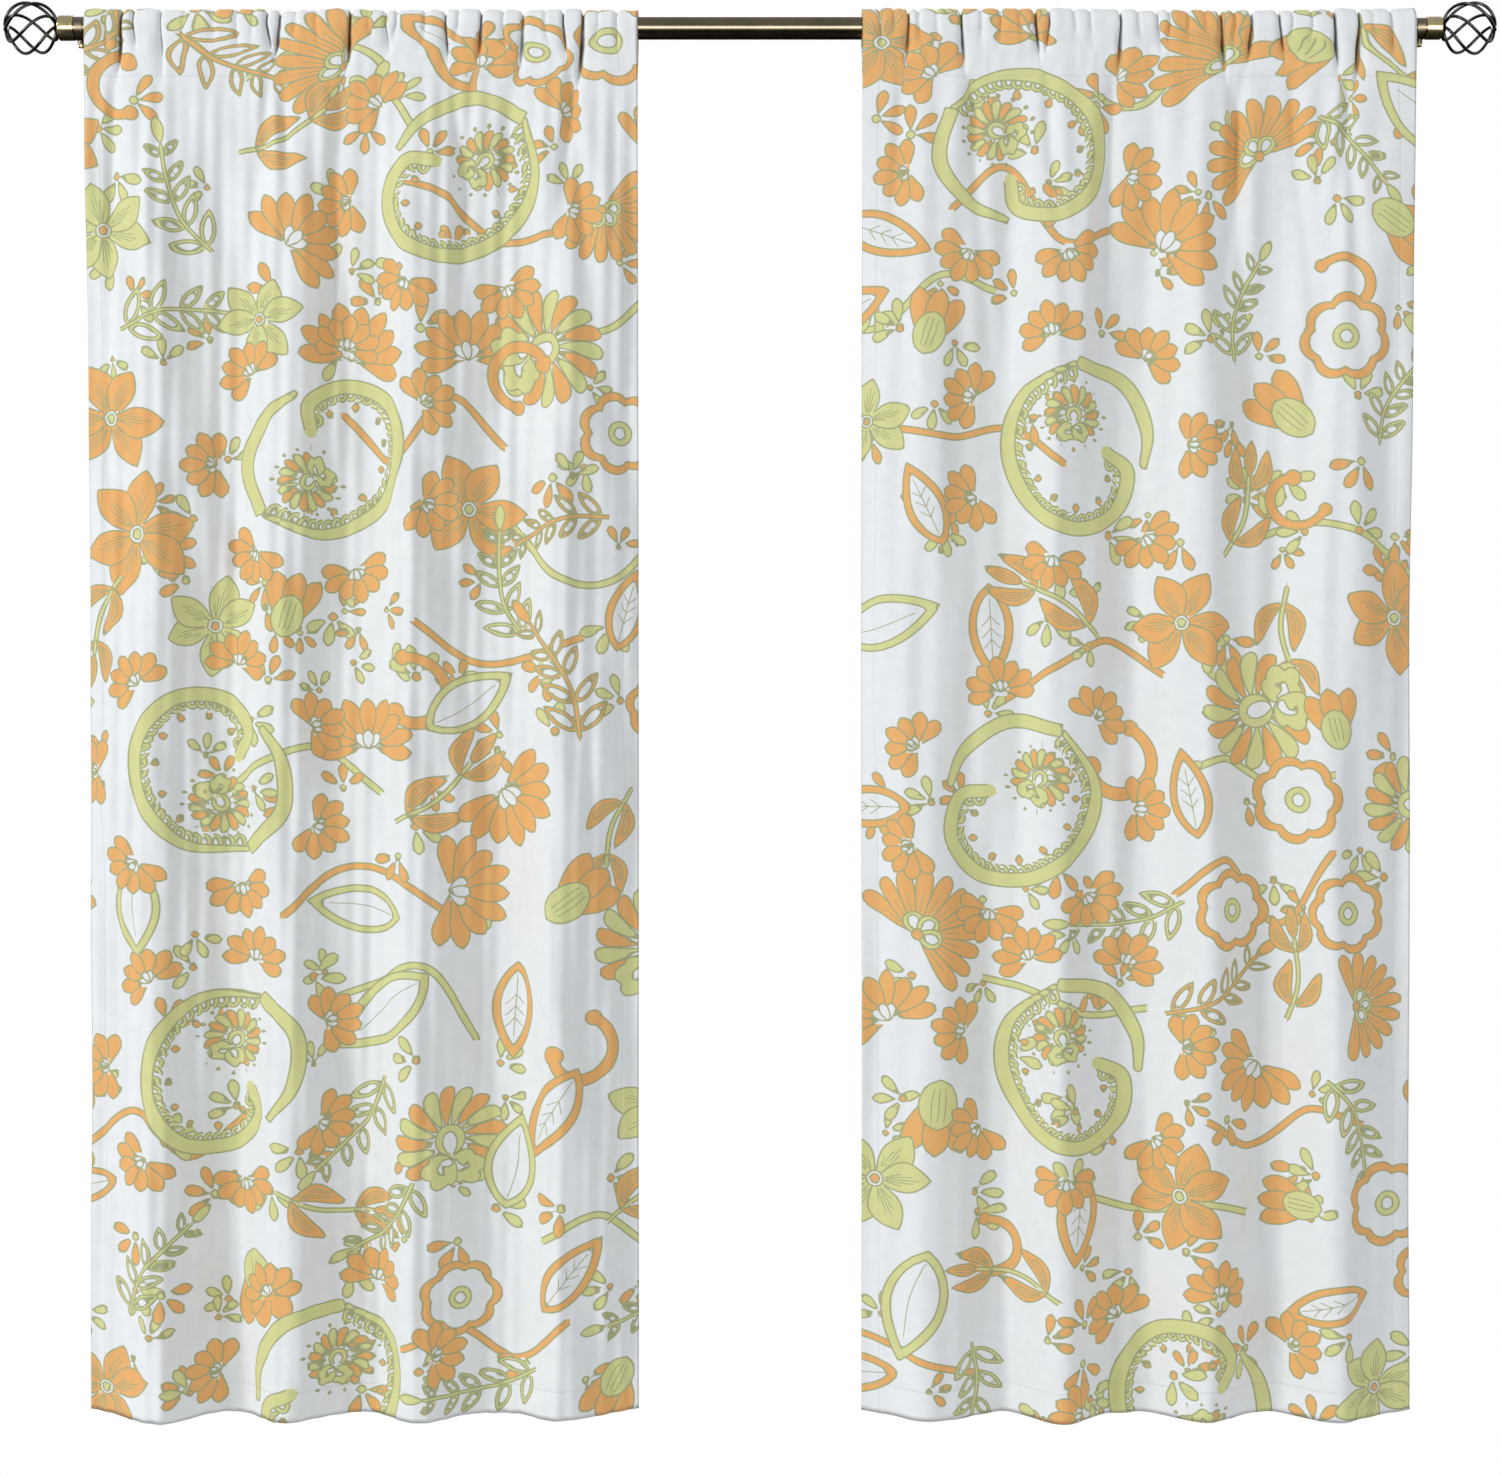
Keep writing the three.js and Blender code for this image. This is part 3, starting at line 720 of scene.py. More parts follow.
SET_BACK = 17.0  # millimetres that the hanging folds' middle lies behind the cloth's front at the rod
LOOP_SHARE = 1.2  # the cloth's length over the rod, as a share of half the tube's circumference
BACK_ROWS, FALL_ROWS = 25, 226
HEADER_START, HEADER_END, HEADER_STEP = 2.6, 130, 2.9
HEM_GAP, HEM_STEP = 1.0, 5.4  # millimetres between the hem's layers, and between its rows
DENSE_SAMPLES = 2200


class PanelShape:
    """Where each place of one panel's cloth hangs. All lengths are millimetres, from the rod's axis."""

    def __init__(self, side, settings):
        self.side = side
        low, high = panel_span(side)
        self.x_low = (low - ROD_CENTRE.x) / MM
        self.width = (high - low) / MM
        self.drop = (ROD_CENTRE.z - HEM_Z) / MM
        self.seam = (ROD_CENTRE.z - SEAM_Z) / MM
        self.depth = settings.fold_depth / MM
        self.pleat = settings.pleat_depth / MM
        self.rod = OUTER_TUBE_RADIUS / MM
        self.seed = 11 if side == "left" else 29
        places, phases = [0.0], [-0.8 * math.pi]
        forward, back = FORWARD_FOLDS[side], RECESSES[side]
        for k, place in enumerate(forward):
            places.append(place)
            phases.append(2 * math.pi * k)
            if k < len(back):
                places.append(back[k])
                phases.append(2 * math.pi * k + math.pi)
        places.append(self.width)
        phases.append(2 * math.pi * (len(forward) - 1) + 0.8 * math.pi)
        self.places, self.phases = np.array(places), np.array(phases)

    def pleats(self, u, z):
        """How far the gathers push the cloth in, as a share of the pleat depth. z is up from the axis."""
        total = np.zeros_like(u)
        down = np.maximum(0, -z)
        for place, share, length, lean in CREASES[self.side]:
            deeper = 1 + 0.9 * smoothstep(down, 8, 26)
            weight = share * deeper * (1 - smoothstep(down, 0.1 * length, 0.9 * length))
            x = u - place - lean * down / length
            # One flank of each gather is steep and the other lies back.
            flank = np.where(x * lean > 0, 1.3 + 0.02 * down, 2.4 + 0.06 * down)
            total += weight * (0.9 * np.exp(-np.abs(x / flank) ** 1.4) + 0.1 * np.exp(-(x / (4 * flank)) ** 2))
        return total

    def shade(self, u, path):
        """How deep in the gathers each place is, from 0 to 1, for the painted shade that darkens the cloth's colour
        there.
        """
        down = np.maximum(0, path)
        total = np.zeros_like(u)
        for place, share, length, lean in CREASES[self.side]:
            weight = max(0.0, 2.2 * share - 1.3) * (1 - smoothstep(down, 0.1 * length, 0.75 * length))
            x = (u - place - lean * down / length) / (1.3 + 0.012 * down)
            total = np.maximum(total, weight * np.exp(-x * x))
        return np.clip(total, 0, 1) * smoothstep(path, -30, -8)

    def closeness(self, u, down):
        """Near 1 in the gathers, so that the cells can be finer there."""
        total = np.zeros_like(u)
        for place, share, length, lean in CREASES[self.side]:
            x = u - place - lean * down / length
            fading = 1 - smoothstep(down, 0.5 * length, 1.6 * length)
            total = np.maximum(total, share * np.exp(-(x / 4.5) ** 2) * fading)
        return total

    def runs(self, u, down):
        """Long soft hollows that the deepest gathers leave below them."""
        total = np.zeros_like(u)
        for place, share, length, lean in CREASES[self.side]:
            if share > 0.95:
                reach = 8 * length
                weight = (share - 0.6) * smoothstep(down, 30, 110) * (1 - smoothstep(down, 0.35 * reach, reach))
                x = (u - place - lean * (1 + down / 90)) / (5.5 + 0.02 * down)
                total += weight * np.exp(-x * x)
        return total

    def folds(self, u, z):
        """How far the hanging cloth stands out, in millimetres, positive towards the room."""
        down = np.maximum(0, -z)
        sway = 7 * wave_noise(u, down, self.seed, 420, 1500) * smoothstep(down, 100, 500)
        phase = np.interp(u + sway, self.places, self.phases)
        grow = 0.12 + 0.58 * smoothstep(down, 20, 420) + 0.30 * smoothstep(down, 300, 1500)
        lobe = np.cos(phase)
        big = self.depth * grow * (lobe + 0.10 * np.cos(2 * phase + 0.6))
        uneven = 1 + 0.22 * wave_noise(u, down, self.seed + 1, 500, 1400)
        middle = 5.4 * wave_noise(u, down, self.seed + 2, 105, 900) * smoothstep(down, 30, 260)
        small = 2.5 * wave_noise(u, down, self.seed + 3, 52, 420) * smoothstep(down, 10, 120)
        return big * uneven + middle + small - 11.5 * self.runs(u, down)

    def stand_off(self, u, z):
        """How far from the axis the cloth stands where it is gathered."""
        level = u * 0
        wave = 1.2 * wave_noise(u, level, self.seed + 4, 180, 1000)
        wave += 0.8 * wave_noise(u, level, self.seed + 5, 40, 1000)
        wave += 0.55 * wave_noise(u, z, self.seed + 6, 17, 120) * (1 - smoothstep(-z, 25, 90))
        # At the rod a gather can only go in as far as the rod; below it there is room behind.
        room = 0.35 - 9.0 * smoothstep(-z, 8, 30)
        return self.rod + 1.0 + np.maximum(room, self.pleat * (1.0 - 0.95 * self.pleats(u, z)) + wave)

    def surface(self, u, path):
        """The cloth's middle surface. path is the length down the front from the axis, negative over the rod."""
        z = np.where(path > 0, -path, 0.0)
        out = self.stand_off(u, z)
        # In front: straight down from the rod, into the hanging folds.
        front = out + self.folds(u, z) * smoothstep(-z, 0, 90) - self.set_back(-z)
        x = u.copy()
        y = -front
        height = z.copy()
        # Over the rod, then down its back to the seam.
        over = np.clip(-path / 1.0, 0, None)
        loop = over > 0
        turn = np.clip(over / (self.rod * LOOP_SHARE * math.pi), 0, 1) * math.pi
        lift = 1 + 0.22 * np.sin(turn) ** 2
        y = np.where(loop, -out * np.cos(turn), y)
        height = np.where(loop, out * np.sin(turn) * (0.86 + 0.1 * lift), height)
        beyond = over - self.rod * LOOP_SHARE * math.pi
        behind = loop & (beyond > 0)
        share = np.clip(beyond / self.seam, 0, 1)
        at_seam = u * 0 - self.seam
        seam_front = -(self.stand_off(u, at_seam) + self.folds(u, at_seam) * smoothstep(self.seam, 0, 90)
                       - self.set_back(self.seam))
        bow = out * (1 - share) ** 0.8 + (seam_front + 1.3) * (1 - (1 - share) ** 0.8)
        y = np.where(behind, bow, y)
        height = np.where(behind, -share * self.seam, height)
        return x, y, height

    def set_back(self, down):
        """How far behind the cloth's front at the rod the middle of the folds lies."""
        return SET_BACK * smoothstep(down, 40, 700)

    def back_length(self):
        return self.rod * LOOP_SHARE * math.pi + self.seam


def even_columns(shape, u_dense, path, count):
    """Places across the panel that are evenly spaced along the cloth at one height, closer in the gathers."""
    x, y, _ = shape.surface(u_dense, np.full_like(u_dense, path))
    steps = np.hypot(np.diff(x), np.diff(y)) * (1 + 1.6 * shape.closeness(u_dense, max(0.0, path))[1:])
    length = np.concatenate([[0], np.cumsum(steps)])
    return np.interp(np.linspace(0, length[-1], count), length, u_dense)


def panel_rows(shape):
    """Lengths down the front from the axis, finer at the header: from the back seam to the turned-up hem's end."""
    back = np.linspace(-shape.back_length(), 0, BACK_ROWS)
    header = np.arange(HEADER_START, HEADER_END, HEADER_STEP)
    fall = np.linspace(header[-1], shape.drop - 1.0, FALL_ROWS)[1:]
    return back, header, fall


def build_panel(side, settings, material):
    shape = PanelShape(side, settings)
    back, header, fall = panel_rows(shape)
    path = np.concatenate([back, header, fall])
    count = settings.columns + 1
    dense = np.linspace(0, shape.width, DENSE_SAMPLES)
    across = np.stack([even_columns(shape, dense, v, count) for v in path])
    # The columns drift slowly down the cloth, as its threads do.
    kernel = np.hanning(9)
    kernel /= kernel.sum()
    padded = np.pad(across, ((4, 4), (0, 0)), mode="edge")
    across = np.stack([np.convolve(padded[:, j], kernel, "valid") for j in range(count)], 1)
    down = np.repeat(path[:, None], count, 1)
    x, y, z = shape.surface(across.ravel(), down.ravel())
    places = np.stack([x, y, z], 1).reshape(len(path), count, 3)
    # The hem hangs a little higher towards the panel's edges.
    edge = np.minimum(across, shape.width - across)
    places[..., 2] += 5 * np.exp(-edge / 30) * smoothstep(down, shape.drop - 250, shape.drop)
    hem_rows = max(3, int(settings.bottom_hem / MM / HEM_STEP))
    # Painted shade in the gathers' creases, which the material multiplies into the cloth's colour.
    painted_gather_shade = np.zeros((len(path) + hem_rows, count))
    painted_gather_shade[:len(path)] = shape.shade(across, down)
    # Cloth turned back at the sides and the bottom, behind the front layer.
    along_u = np.gradient(places, axis=1)
    along_v = np.gradient(places, axis=0)
    normal = np.cross(along_u, along_v)
    normal /= np.linalg.norm(normal, axis=2)[..., None] + 1e-9
    if normal[len(path) // 2, count // 2, 1] > 0:
        normal = -normal
    cell = settings.flat_width / MM / settings.columns
    side_columns = max(3, round(settings.side_hem / MM / cell))

    def turned(block, block_normal, axis, from_start):
        """Copies the first or last lines of a block behind itself."""
        lines = range(1, side_columns + 1)
        index = list(reversed(lines)) if from_start else [-1 - k for k in lines]
        taken = np.take(block, index, axis=axis)
        taken_normal = np.take(block_normal, index, axis=axis)
        moved = taken - taken_normal * HEM_GAP
        parts = (moved, block) if from_start else (block, moved)
        normals = (taken_normal, block_normal) if from_start else (block_normal, taken_normal)
        return np.concatenate(parts, axis=axis), np.concatenate(normals, axis=axis)

    low_rows = [-1 - k for k in range(1, hem_rows + 1)]
    turned_up = places[low_rows] - normal[low_rows] * HEM_GAP
    places = np.concatenate([places, turned_up])
    normal = np.concatenate([normal, normal[low_rows]])
    print_down = np.concatenate([path, shape.drop + np.cumsum(np.abs(np.diff(path[-hem_rows - 1:][::-1])))])
    places, normal = turned(places, normal, 1, True)
    places, normal = turned(places, normal, 1, False)
    painted_gather_shade = np.pad(painted_gather_shade, ((0, 0), (side_columns, side_columns)))
    print_across = (np.arange(places.shape[1]) - side_columns) * shape.width / settings.columns
    flat_across = (np.arange(places.shape[1]) - side_columns) * cell
    flat_down = print_down + shape.back_length()

    places = places * MM + [ROD_CENTRE.x + shape.x_low * MM, ROD_CENTRE.y, ROD_CENTRE.z]
    rows, columns = places.shape[0] - 1, places.shape[1] - 1
    bm = bmesh.new()
    bmesh.ops.create_grid(bm, x_segments=columns, y_segments=rows, size=1)
    mesh = bpy.data.meshes.new(f"{side}_panel")
    bm.to_mesh(mesh)
    bm.free()
    # The grid operator lays its vertices row by row.
    mesh.vertices.foreach_set("co", places.reshape(-1).astype(np.float32))
    mesh.update()
    corner_vertex = np.empty(len(mesh.loops), np.int32)
    mesh.loops.foreach_get("vertex_index", corner_vertex)
    corner_vertex = corner_vertex.reshape(-1, 4)
    width = columns + 1
    i = corner_vertex.min(1) // width
    j = corner_vertex.min(1) % width
    base, corner, half, ink = ink_cells(strewn_print(side), print_across, print_down)
    # Which of the cell's four corners each face corner is.
    di = corner_vertex // width - i[:, None]
    dj = corner_vertex % width - j[:, None]
    which = np.where(di == 0, dj, 3 - dj)
    layer = mesh.attributes.new("print_base", "FLOAT", "CORNER")
    layer.data.foreach_set("value", np.repeat(base[i, j], 4).astype(np.float32))
    for k in range(LAYERS):
        values = np.empty((len(i), 4, 3), np.float32)
        values[..., 0] = corner[k][i[:, None], j[:, None], which]
        values[..., 1] = half[k][i, j][:, None]
        values[..., 2] = ink[k][i, j][:, None]
        layer = mesh.attributes.new(f"print_{k + 1}", "FLOAT_VECTOR", "CORNER")
        layer.data.foreach_set("vector", values.reshape(-1))
    # The painted shade in the gathers, kept on the cloth for the material.
    layer = mesh.attributes.new("painted_gather_shade", "FLOAT", "POINT")
    layer.data.foreach_set("value", painted_gather_shade.reshape(-1).astype(np.float32))
    uv = mesh.uv_layers.new(name="cut")
    cut = np.stack([flat_across[corner_vertex % width], flat_down[corner_vertex // width]], -1) * MM
    uv.data.foreach_set("uv", cut.reshape(-1).astype(np.float32))
    mesh.polygons.foreach_set("use_smooth", np.ones(len(mesh.polygons), bool))
    mesh.materials.append(material)
    piece = bpy.data.objects.new(f"{side}_panel", mesh)
    bpy.context.scene.collection.objects.link(piece)
    facing = np.empty(len(mesh.polygons) * 3)
    mesh.polygons.foreach_get("normal", facing)
    hanging = (i > len(back) + len(header)) & (i < len(path) - 1)
    if facing[1::3][hanging].mean() > 0:
        mesh.flip_normals()
    flat_length = (flat_down[-1] - flat_down[0]) * MM
    flat_width = (flat_across[-1] - flat_across[0]) * MM
    return piece, (float(flat_width), float(flat_length))


# ---------------------------------------------------------------- materials

STITCH_LENGTH = 3.0 * MM
STITCH_THREAD = (0.60, 0.63, 0.64)
STITCH_INSET = 0.85  # a hem's stitches lie this share of its width from the cloth's edge


def stitch_lines(across_cloth, down_cloth, settings):
    """Each row of stitches: the coordinate it is set out on, the one it runs along, and its place."""
    shape = PanelShape("left", settings)
    over = shape.back_length() * MM
    hem = shape.drop * MM - STITCH_INSET * settings.bottom_hem
    side = STITCH_INSET * settings.side_hem
    return ((down_cloth, across_cloth, over + shape.seam * MM), (down_cloth, across_cloth, over + hem),
            (across_cloth, down_cloth, side), (across_cloth, down_cloth, settings.flat_width - side))


def cloth_material(settings):
    material, tree, shader = new_material("printed_cotton")
    inks = (settings.ground, settings.orange, settings.green, settings.outline)
    stops = [(k / (2 * INKS), tuple(inks[k % INKS])) for k in range(2 * INKS)]
    cut = add_node(tree, "UVMap", uv_map="cut").outputs[0]

    def ink_colour(code):
        place = math_node(tree, "MULTIPLY_ADD", code, 1 / (2 * INKS))
        place.node.inputs[2].default_value = 0.5 / (2 * INKS)
        return ramp_node(tree, place, stops, "CONSTANT")

    colour = ink_colour(add_node(tree, "Attribute", attribute_name="print_base").outputs["Fac"])
    for k in range(LAYERS):
        vector = add_node(tree, "Attribute", attribute_name=f"print_{k + 1}").outputs["Vector"]
        parts = add_node(tree, "SeparateXYZ", {0: vector})
        distance = math_node(tree, "SUBTRACT", math_node(tree, "ABSOLUTE", parts.outputs[0]), parts.outputs[1])
        inside = fade(tree, distance, -0.2, 0.2)
        colour = mix_colour(tree, inside, colour, ink_colour(parts.outputs[2]))
        rim = fade(tree, math_node(tree, "ABSOLUTE", distance), OUTLINE_HALF - 0.3, OUTLINE_HALF + 0.3)
        has_rim = math_node(tree, "GREATER_THAN", parts.outputs[2], INKS - 0.5)
        colour = mix_colour(tree, math_node(tree, "MULTIPLY", rim, has_rim), colour, tuple(settings.outline))

    # Uneven take-up of the ink, and the thread pattern of a plain weave.
    mottle = add_node(tree, "TexNoise", {"Vector": cut, "Scale": 55.0, "Detail": 4.0, "Roughness": 0.6})
    shade = add_node(tree, "MapRange", {0: mottle.outputs[0], 1: 0.3, 2: 0.7, 3: 0.965, 4: 1.02}, clamp=True)
    colour = mix_colour(tree, 1.0, colour, shade.outputs[0], "MULTIPLY")
    threads = []
    for direction in ("X", "Y"):
        wave = add_node(tree, "TexWave", {"Vector": cut, "Scale": 330.0, "Distortion": 1.2, "Detail": 1.0,
                                          "Detail Scale": 0.6}, wave_type="BANDS", bands_direction=direction)
        threads.append(wave.outputs["Fac"])
    weave = math_node(tree, "ADD", *threads)
    thread_shade = add_node(tree, "MapRange", {0: weave, 1: 0.0, 2: 2.0, 3: 0.97, 4: 1.02}, clamp=True)
    colour = mix_colour(tree, 1.0, colour, thread_shade.outputs[0], "MULTIPLY")
    # Painted shade: deep in the gathers the cloth's colour is darkened, standing in for the shade where the cloth
    # touches itself and little light gets out.
    painted_gather_shade = add_node(tree, "Attribute", attribute_name="painted_gather_shade").outputs["Fac"]
    depth = add_node(tree, "MapRange", {0: painted_gather_shade, 1: 0.15, 2: 0.95, 3: 1.0, 4: 0.22}, clamp=True)
    colour = mix_colour(tree, 1.0, colour, depth.outputs[0], "MULTIPLY")
    # The print shows faintly on the wrong side.
    wrong_side = add_node(tree, "NewGeometry").outputs["Backfacing"]
    pale = mix_colour(tree, 0.30, tuple(settings.ground), colour)
    colour = mix_colour(tree, wrong_side, colour, pale)

    # Rows of stitches: the pocket's seam, the side hems and the bottom hem.
    across_cloth, down_cloth = add_node(tree, "SeparateXYZ", {0: cut}).outputs[:2]
    stitches = groove = None
    for coordinate, other, place in stitch_lines(across_cloth, down_cloth, settings):
        off_line = math_node(tree, "ABSOLUTE", math_node(tree, "SUBTRACT", coordinate, place))
        along = math_node(tree, "FRACT", math_node(tree, "MULTIPLY", other, 1 / STITCH_LENGTH))
        dash = fade(tree, math_node(tree, "ABSOLUTE", math_node(tree, "SUBTRACT", along, 0.5)), 0.33, 0.41)
        thread = math_node(tree, "MULTIPLY", fade(tree, off_line, 0.00015, 0.0003), dash)
        dip = fade(tree, off_line, 0.0002, 0.0022)
        stitches = math_node(tree, "MAXIMUM", stitches, thread) if stitches else thread
        groove = math_node(tree, "MAXIMUM", groove, dip) if groove else dip
    colour = mix_colour(tree, math_node(tree, "MULTIPLY", stitches, 0.6), colour, STITCH_THREAD)
    tree.links.new(colour, shader.inputs["Base Color"])

    long_threads = add_node(tree, "Mapping", {0: cut, 3: (900.0, 60.0, 1.0)}).outputs[0]
    slub = add_node(tree, "TexNoise", {"Vector": long_threads, "Scale": 1.0, "Detail": 2.0})
    height = math_node(tree, "ADD", math_node(tree, "MULTIPLY", weave, 0.5), slub.outputs[0])
    bump = add_node(tree, "Bump", {"Strength": 0.25, "Distance": 0.00025, "Height": height})
    sewn = math_node(tree, "SUBTRACT", stitches, groove)
    sewn_bump = add_node(tree, "Bump", {"Strength": 0.6, "Distance": 0.0005, "Height": sewn, "Normal": bump.outputs[0]})
    tree.links.new(sewn_bump.outputs[0], shader.inputs["Normal"])
    shader.inputs["Roughness"].default_value = 0.88
    shader.inputs["Sheen Weight"].default_value = 0.12
    shader.inputs["Sheen Roughness"].default_value = 0.5
    shader.inputs["Specular IOR Level"].default_value = 0.25
    return material


def metal_material(name, colour, roughness, worn=None, metallic=1.0, coat=0.0, grain=900.0):
    """A lacquered or plated metal with fine unevenness, a little dulling, and paler worn edges."""
    material, tree, shader = new_material(name)
    place = add_node(tree, "TexCoord").outputs["Object"]
    patches = add_node(tree, "TexNoise", {"Vector": place, "Scale": 38.0, "Detail": 6.0, "Roughness": 0.65})
    dark = tuple(0.72 * c for c in colour)
    base = ramp_node(tree, patches.outputs[0], [(0.32, dark), (0.62, tuple(colour))])
    if worn:
        edge = add_node(tree, "Bevel", {"Radius": 0.0006}, samples=4)
        facing = add_node(tree, "VectorMath", {0: edge.outputs[0], 1: add_node(tree, "NewGeometry").outputs["Normal"]},
                          operation="DOT_PRODUCT").outputs["Value"]
        rubbed = add_node(tree, "MapRange", {0: facing, 1: 0.80, 2: 0.97, 3: 0.6, 4: 0.0}, clamp=True).outputs[0]
        base = mix_colour(tree, rubbed, base, worn)
    tree.links.new(base, shader.inputs["Base Color"])
    fine = add_node(tree, "TexNoise", {"Vector": place, "Scale": grain, "Detail": 3.0})
    gloss = add_node(tree, "MapRange", {0: patches.outputs[0], 1: 0.3, 2: 0.7, 3: roughness * 0.8, 4: roughness * 1.3},
                     clamp=True)
    tree.links.new(gloss.outputs[0], shader.inputs["Roughness"])
    bump = add_node(tree, "Bump", {"Strength": 0.06, "Distance": 0.0002, "Height": fine.outputs[0]})
    tree.links.new(bump.outputs[0], shader.inputs["Normal"])
    shader.inputs["Metallic"].default_value = metallic
    shader.inputs["Coat Weight"].default_value = coat
    shader.inputs["Coat Roughness"].default_value = 0.08
    return material


# ---------------------------------------------------------------- operators

class CURTAINS_OT_panels(bpy.types.Operator):
    """Hangs the two printed panels on the rod"""
    bl_idname = "curtains.panels"
    bl_label = "Curtain panels"

    def execute(self, context):
        settings = context.scene.curtain_cloth
        material = cloth_material(settings)
        for side in SIDES:
            piece, flat = build_panel(side, settings, material)
            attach(piece, f"{side}_curtain")
            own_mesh(piece)
            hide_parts(*[f"{side}_{kind}_{i}" for kind in ("pocket", "fold") for i in STRIPS])
        return {"FINISHED"}


class CURTAINS_OT_rod(bpy.types.Operator):
    """Makes the rod's two tubes with rolled ends"""
    bl_idname = "curtains.rod"
    bl_label = "Rod"

    def execute(self, context):
        settings = context.scene.curtain_metal
        bronze = metal_material("bronze_lacquer", settings.bronze, 0.16, worn=(0.34, 0.26, 0.15), coat=0.6)
        for node, body, radius in (("rod_outer_tube", "rod", OUTER_TUBE_RADIUS),
                                   ("rod_inner_tube", "rod_extension", INNER_TUBE_RADIUS)):
            low, high = box_of(node)
            wall = 0.9 * MM
            lip = 0.35 * MM
            profile = [(low.x - ROD_CENTRE.x, radius - wall), (low.x - ROD_CENTRE.x, radius - lip),
                       (low.x - ROD_CENTRE.x + lip, radius), (high.x - ROD_CENTRE.x - lip, radius),
                       (high.x - ROD_CENTRE.x, radius - lip), (high.x - ROD_CENTRE.x, radius - wall),
                       (low.x - ROD_CENTRE.x, radius - wall)]
            bm = bmesh.new()
            turned_about_x(bm, profile, ROD_CENTRE)
            piece = finish_mesh(bm, node.replace("rod_", "") + "_finish", bronze)
            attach(piece, body)
            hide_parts(node)
        return {"FINISHED"}


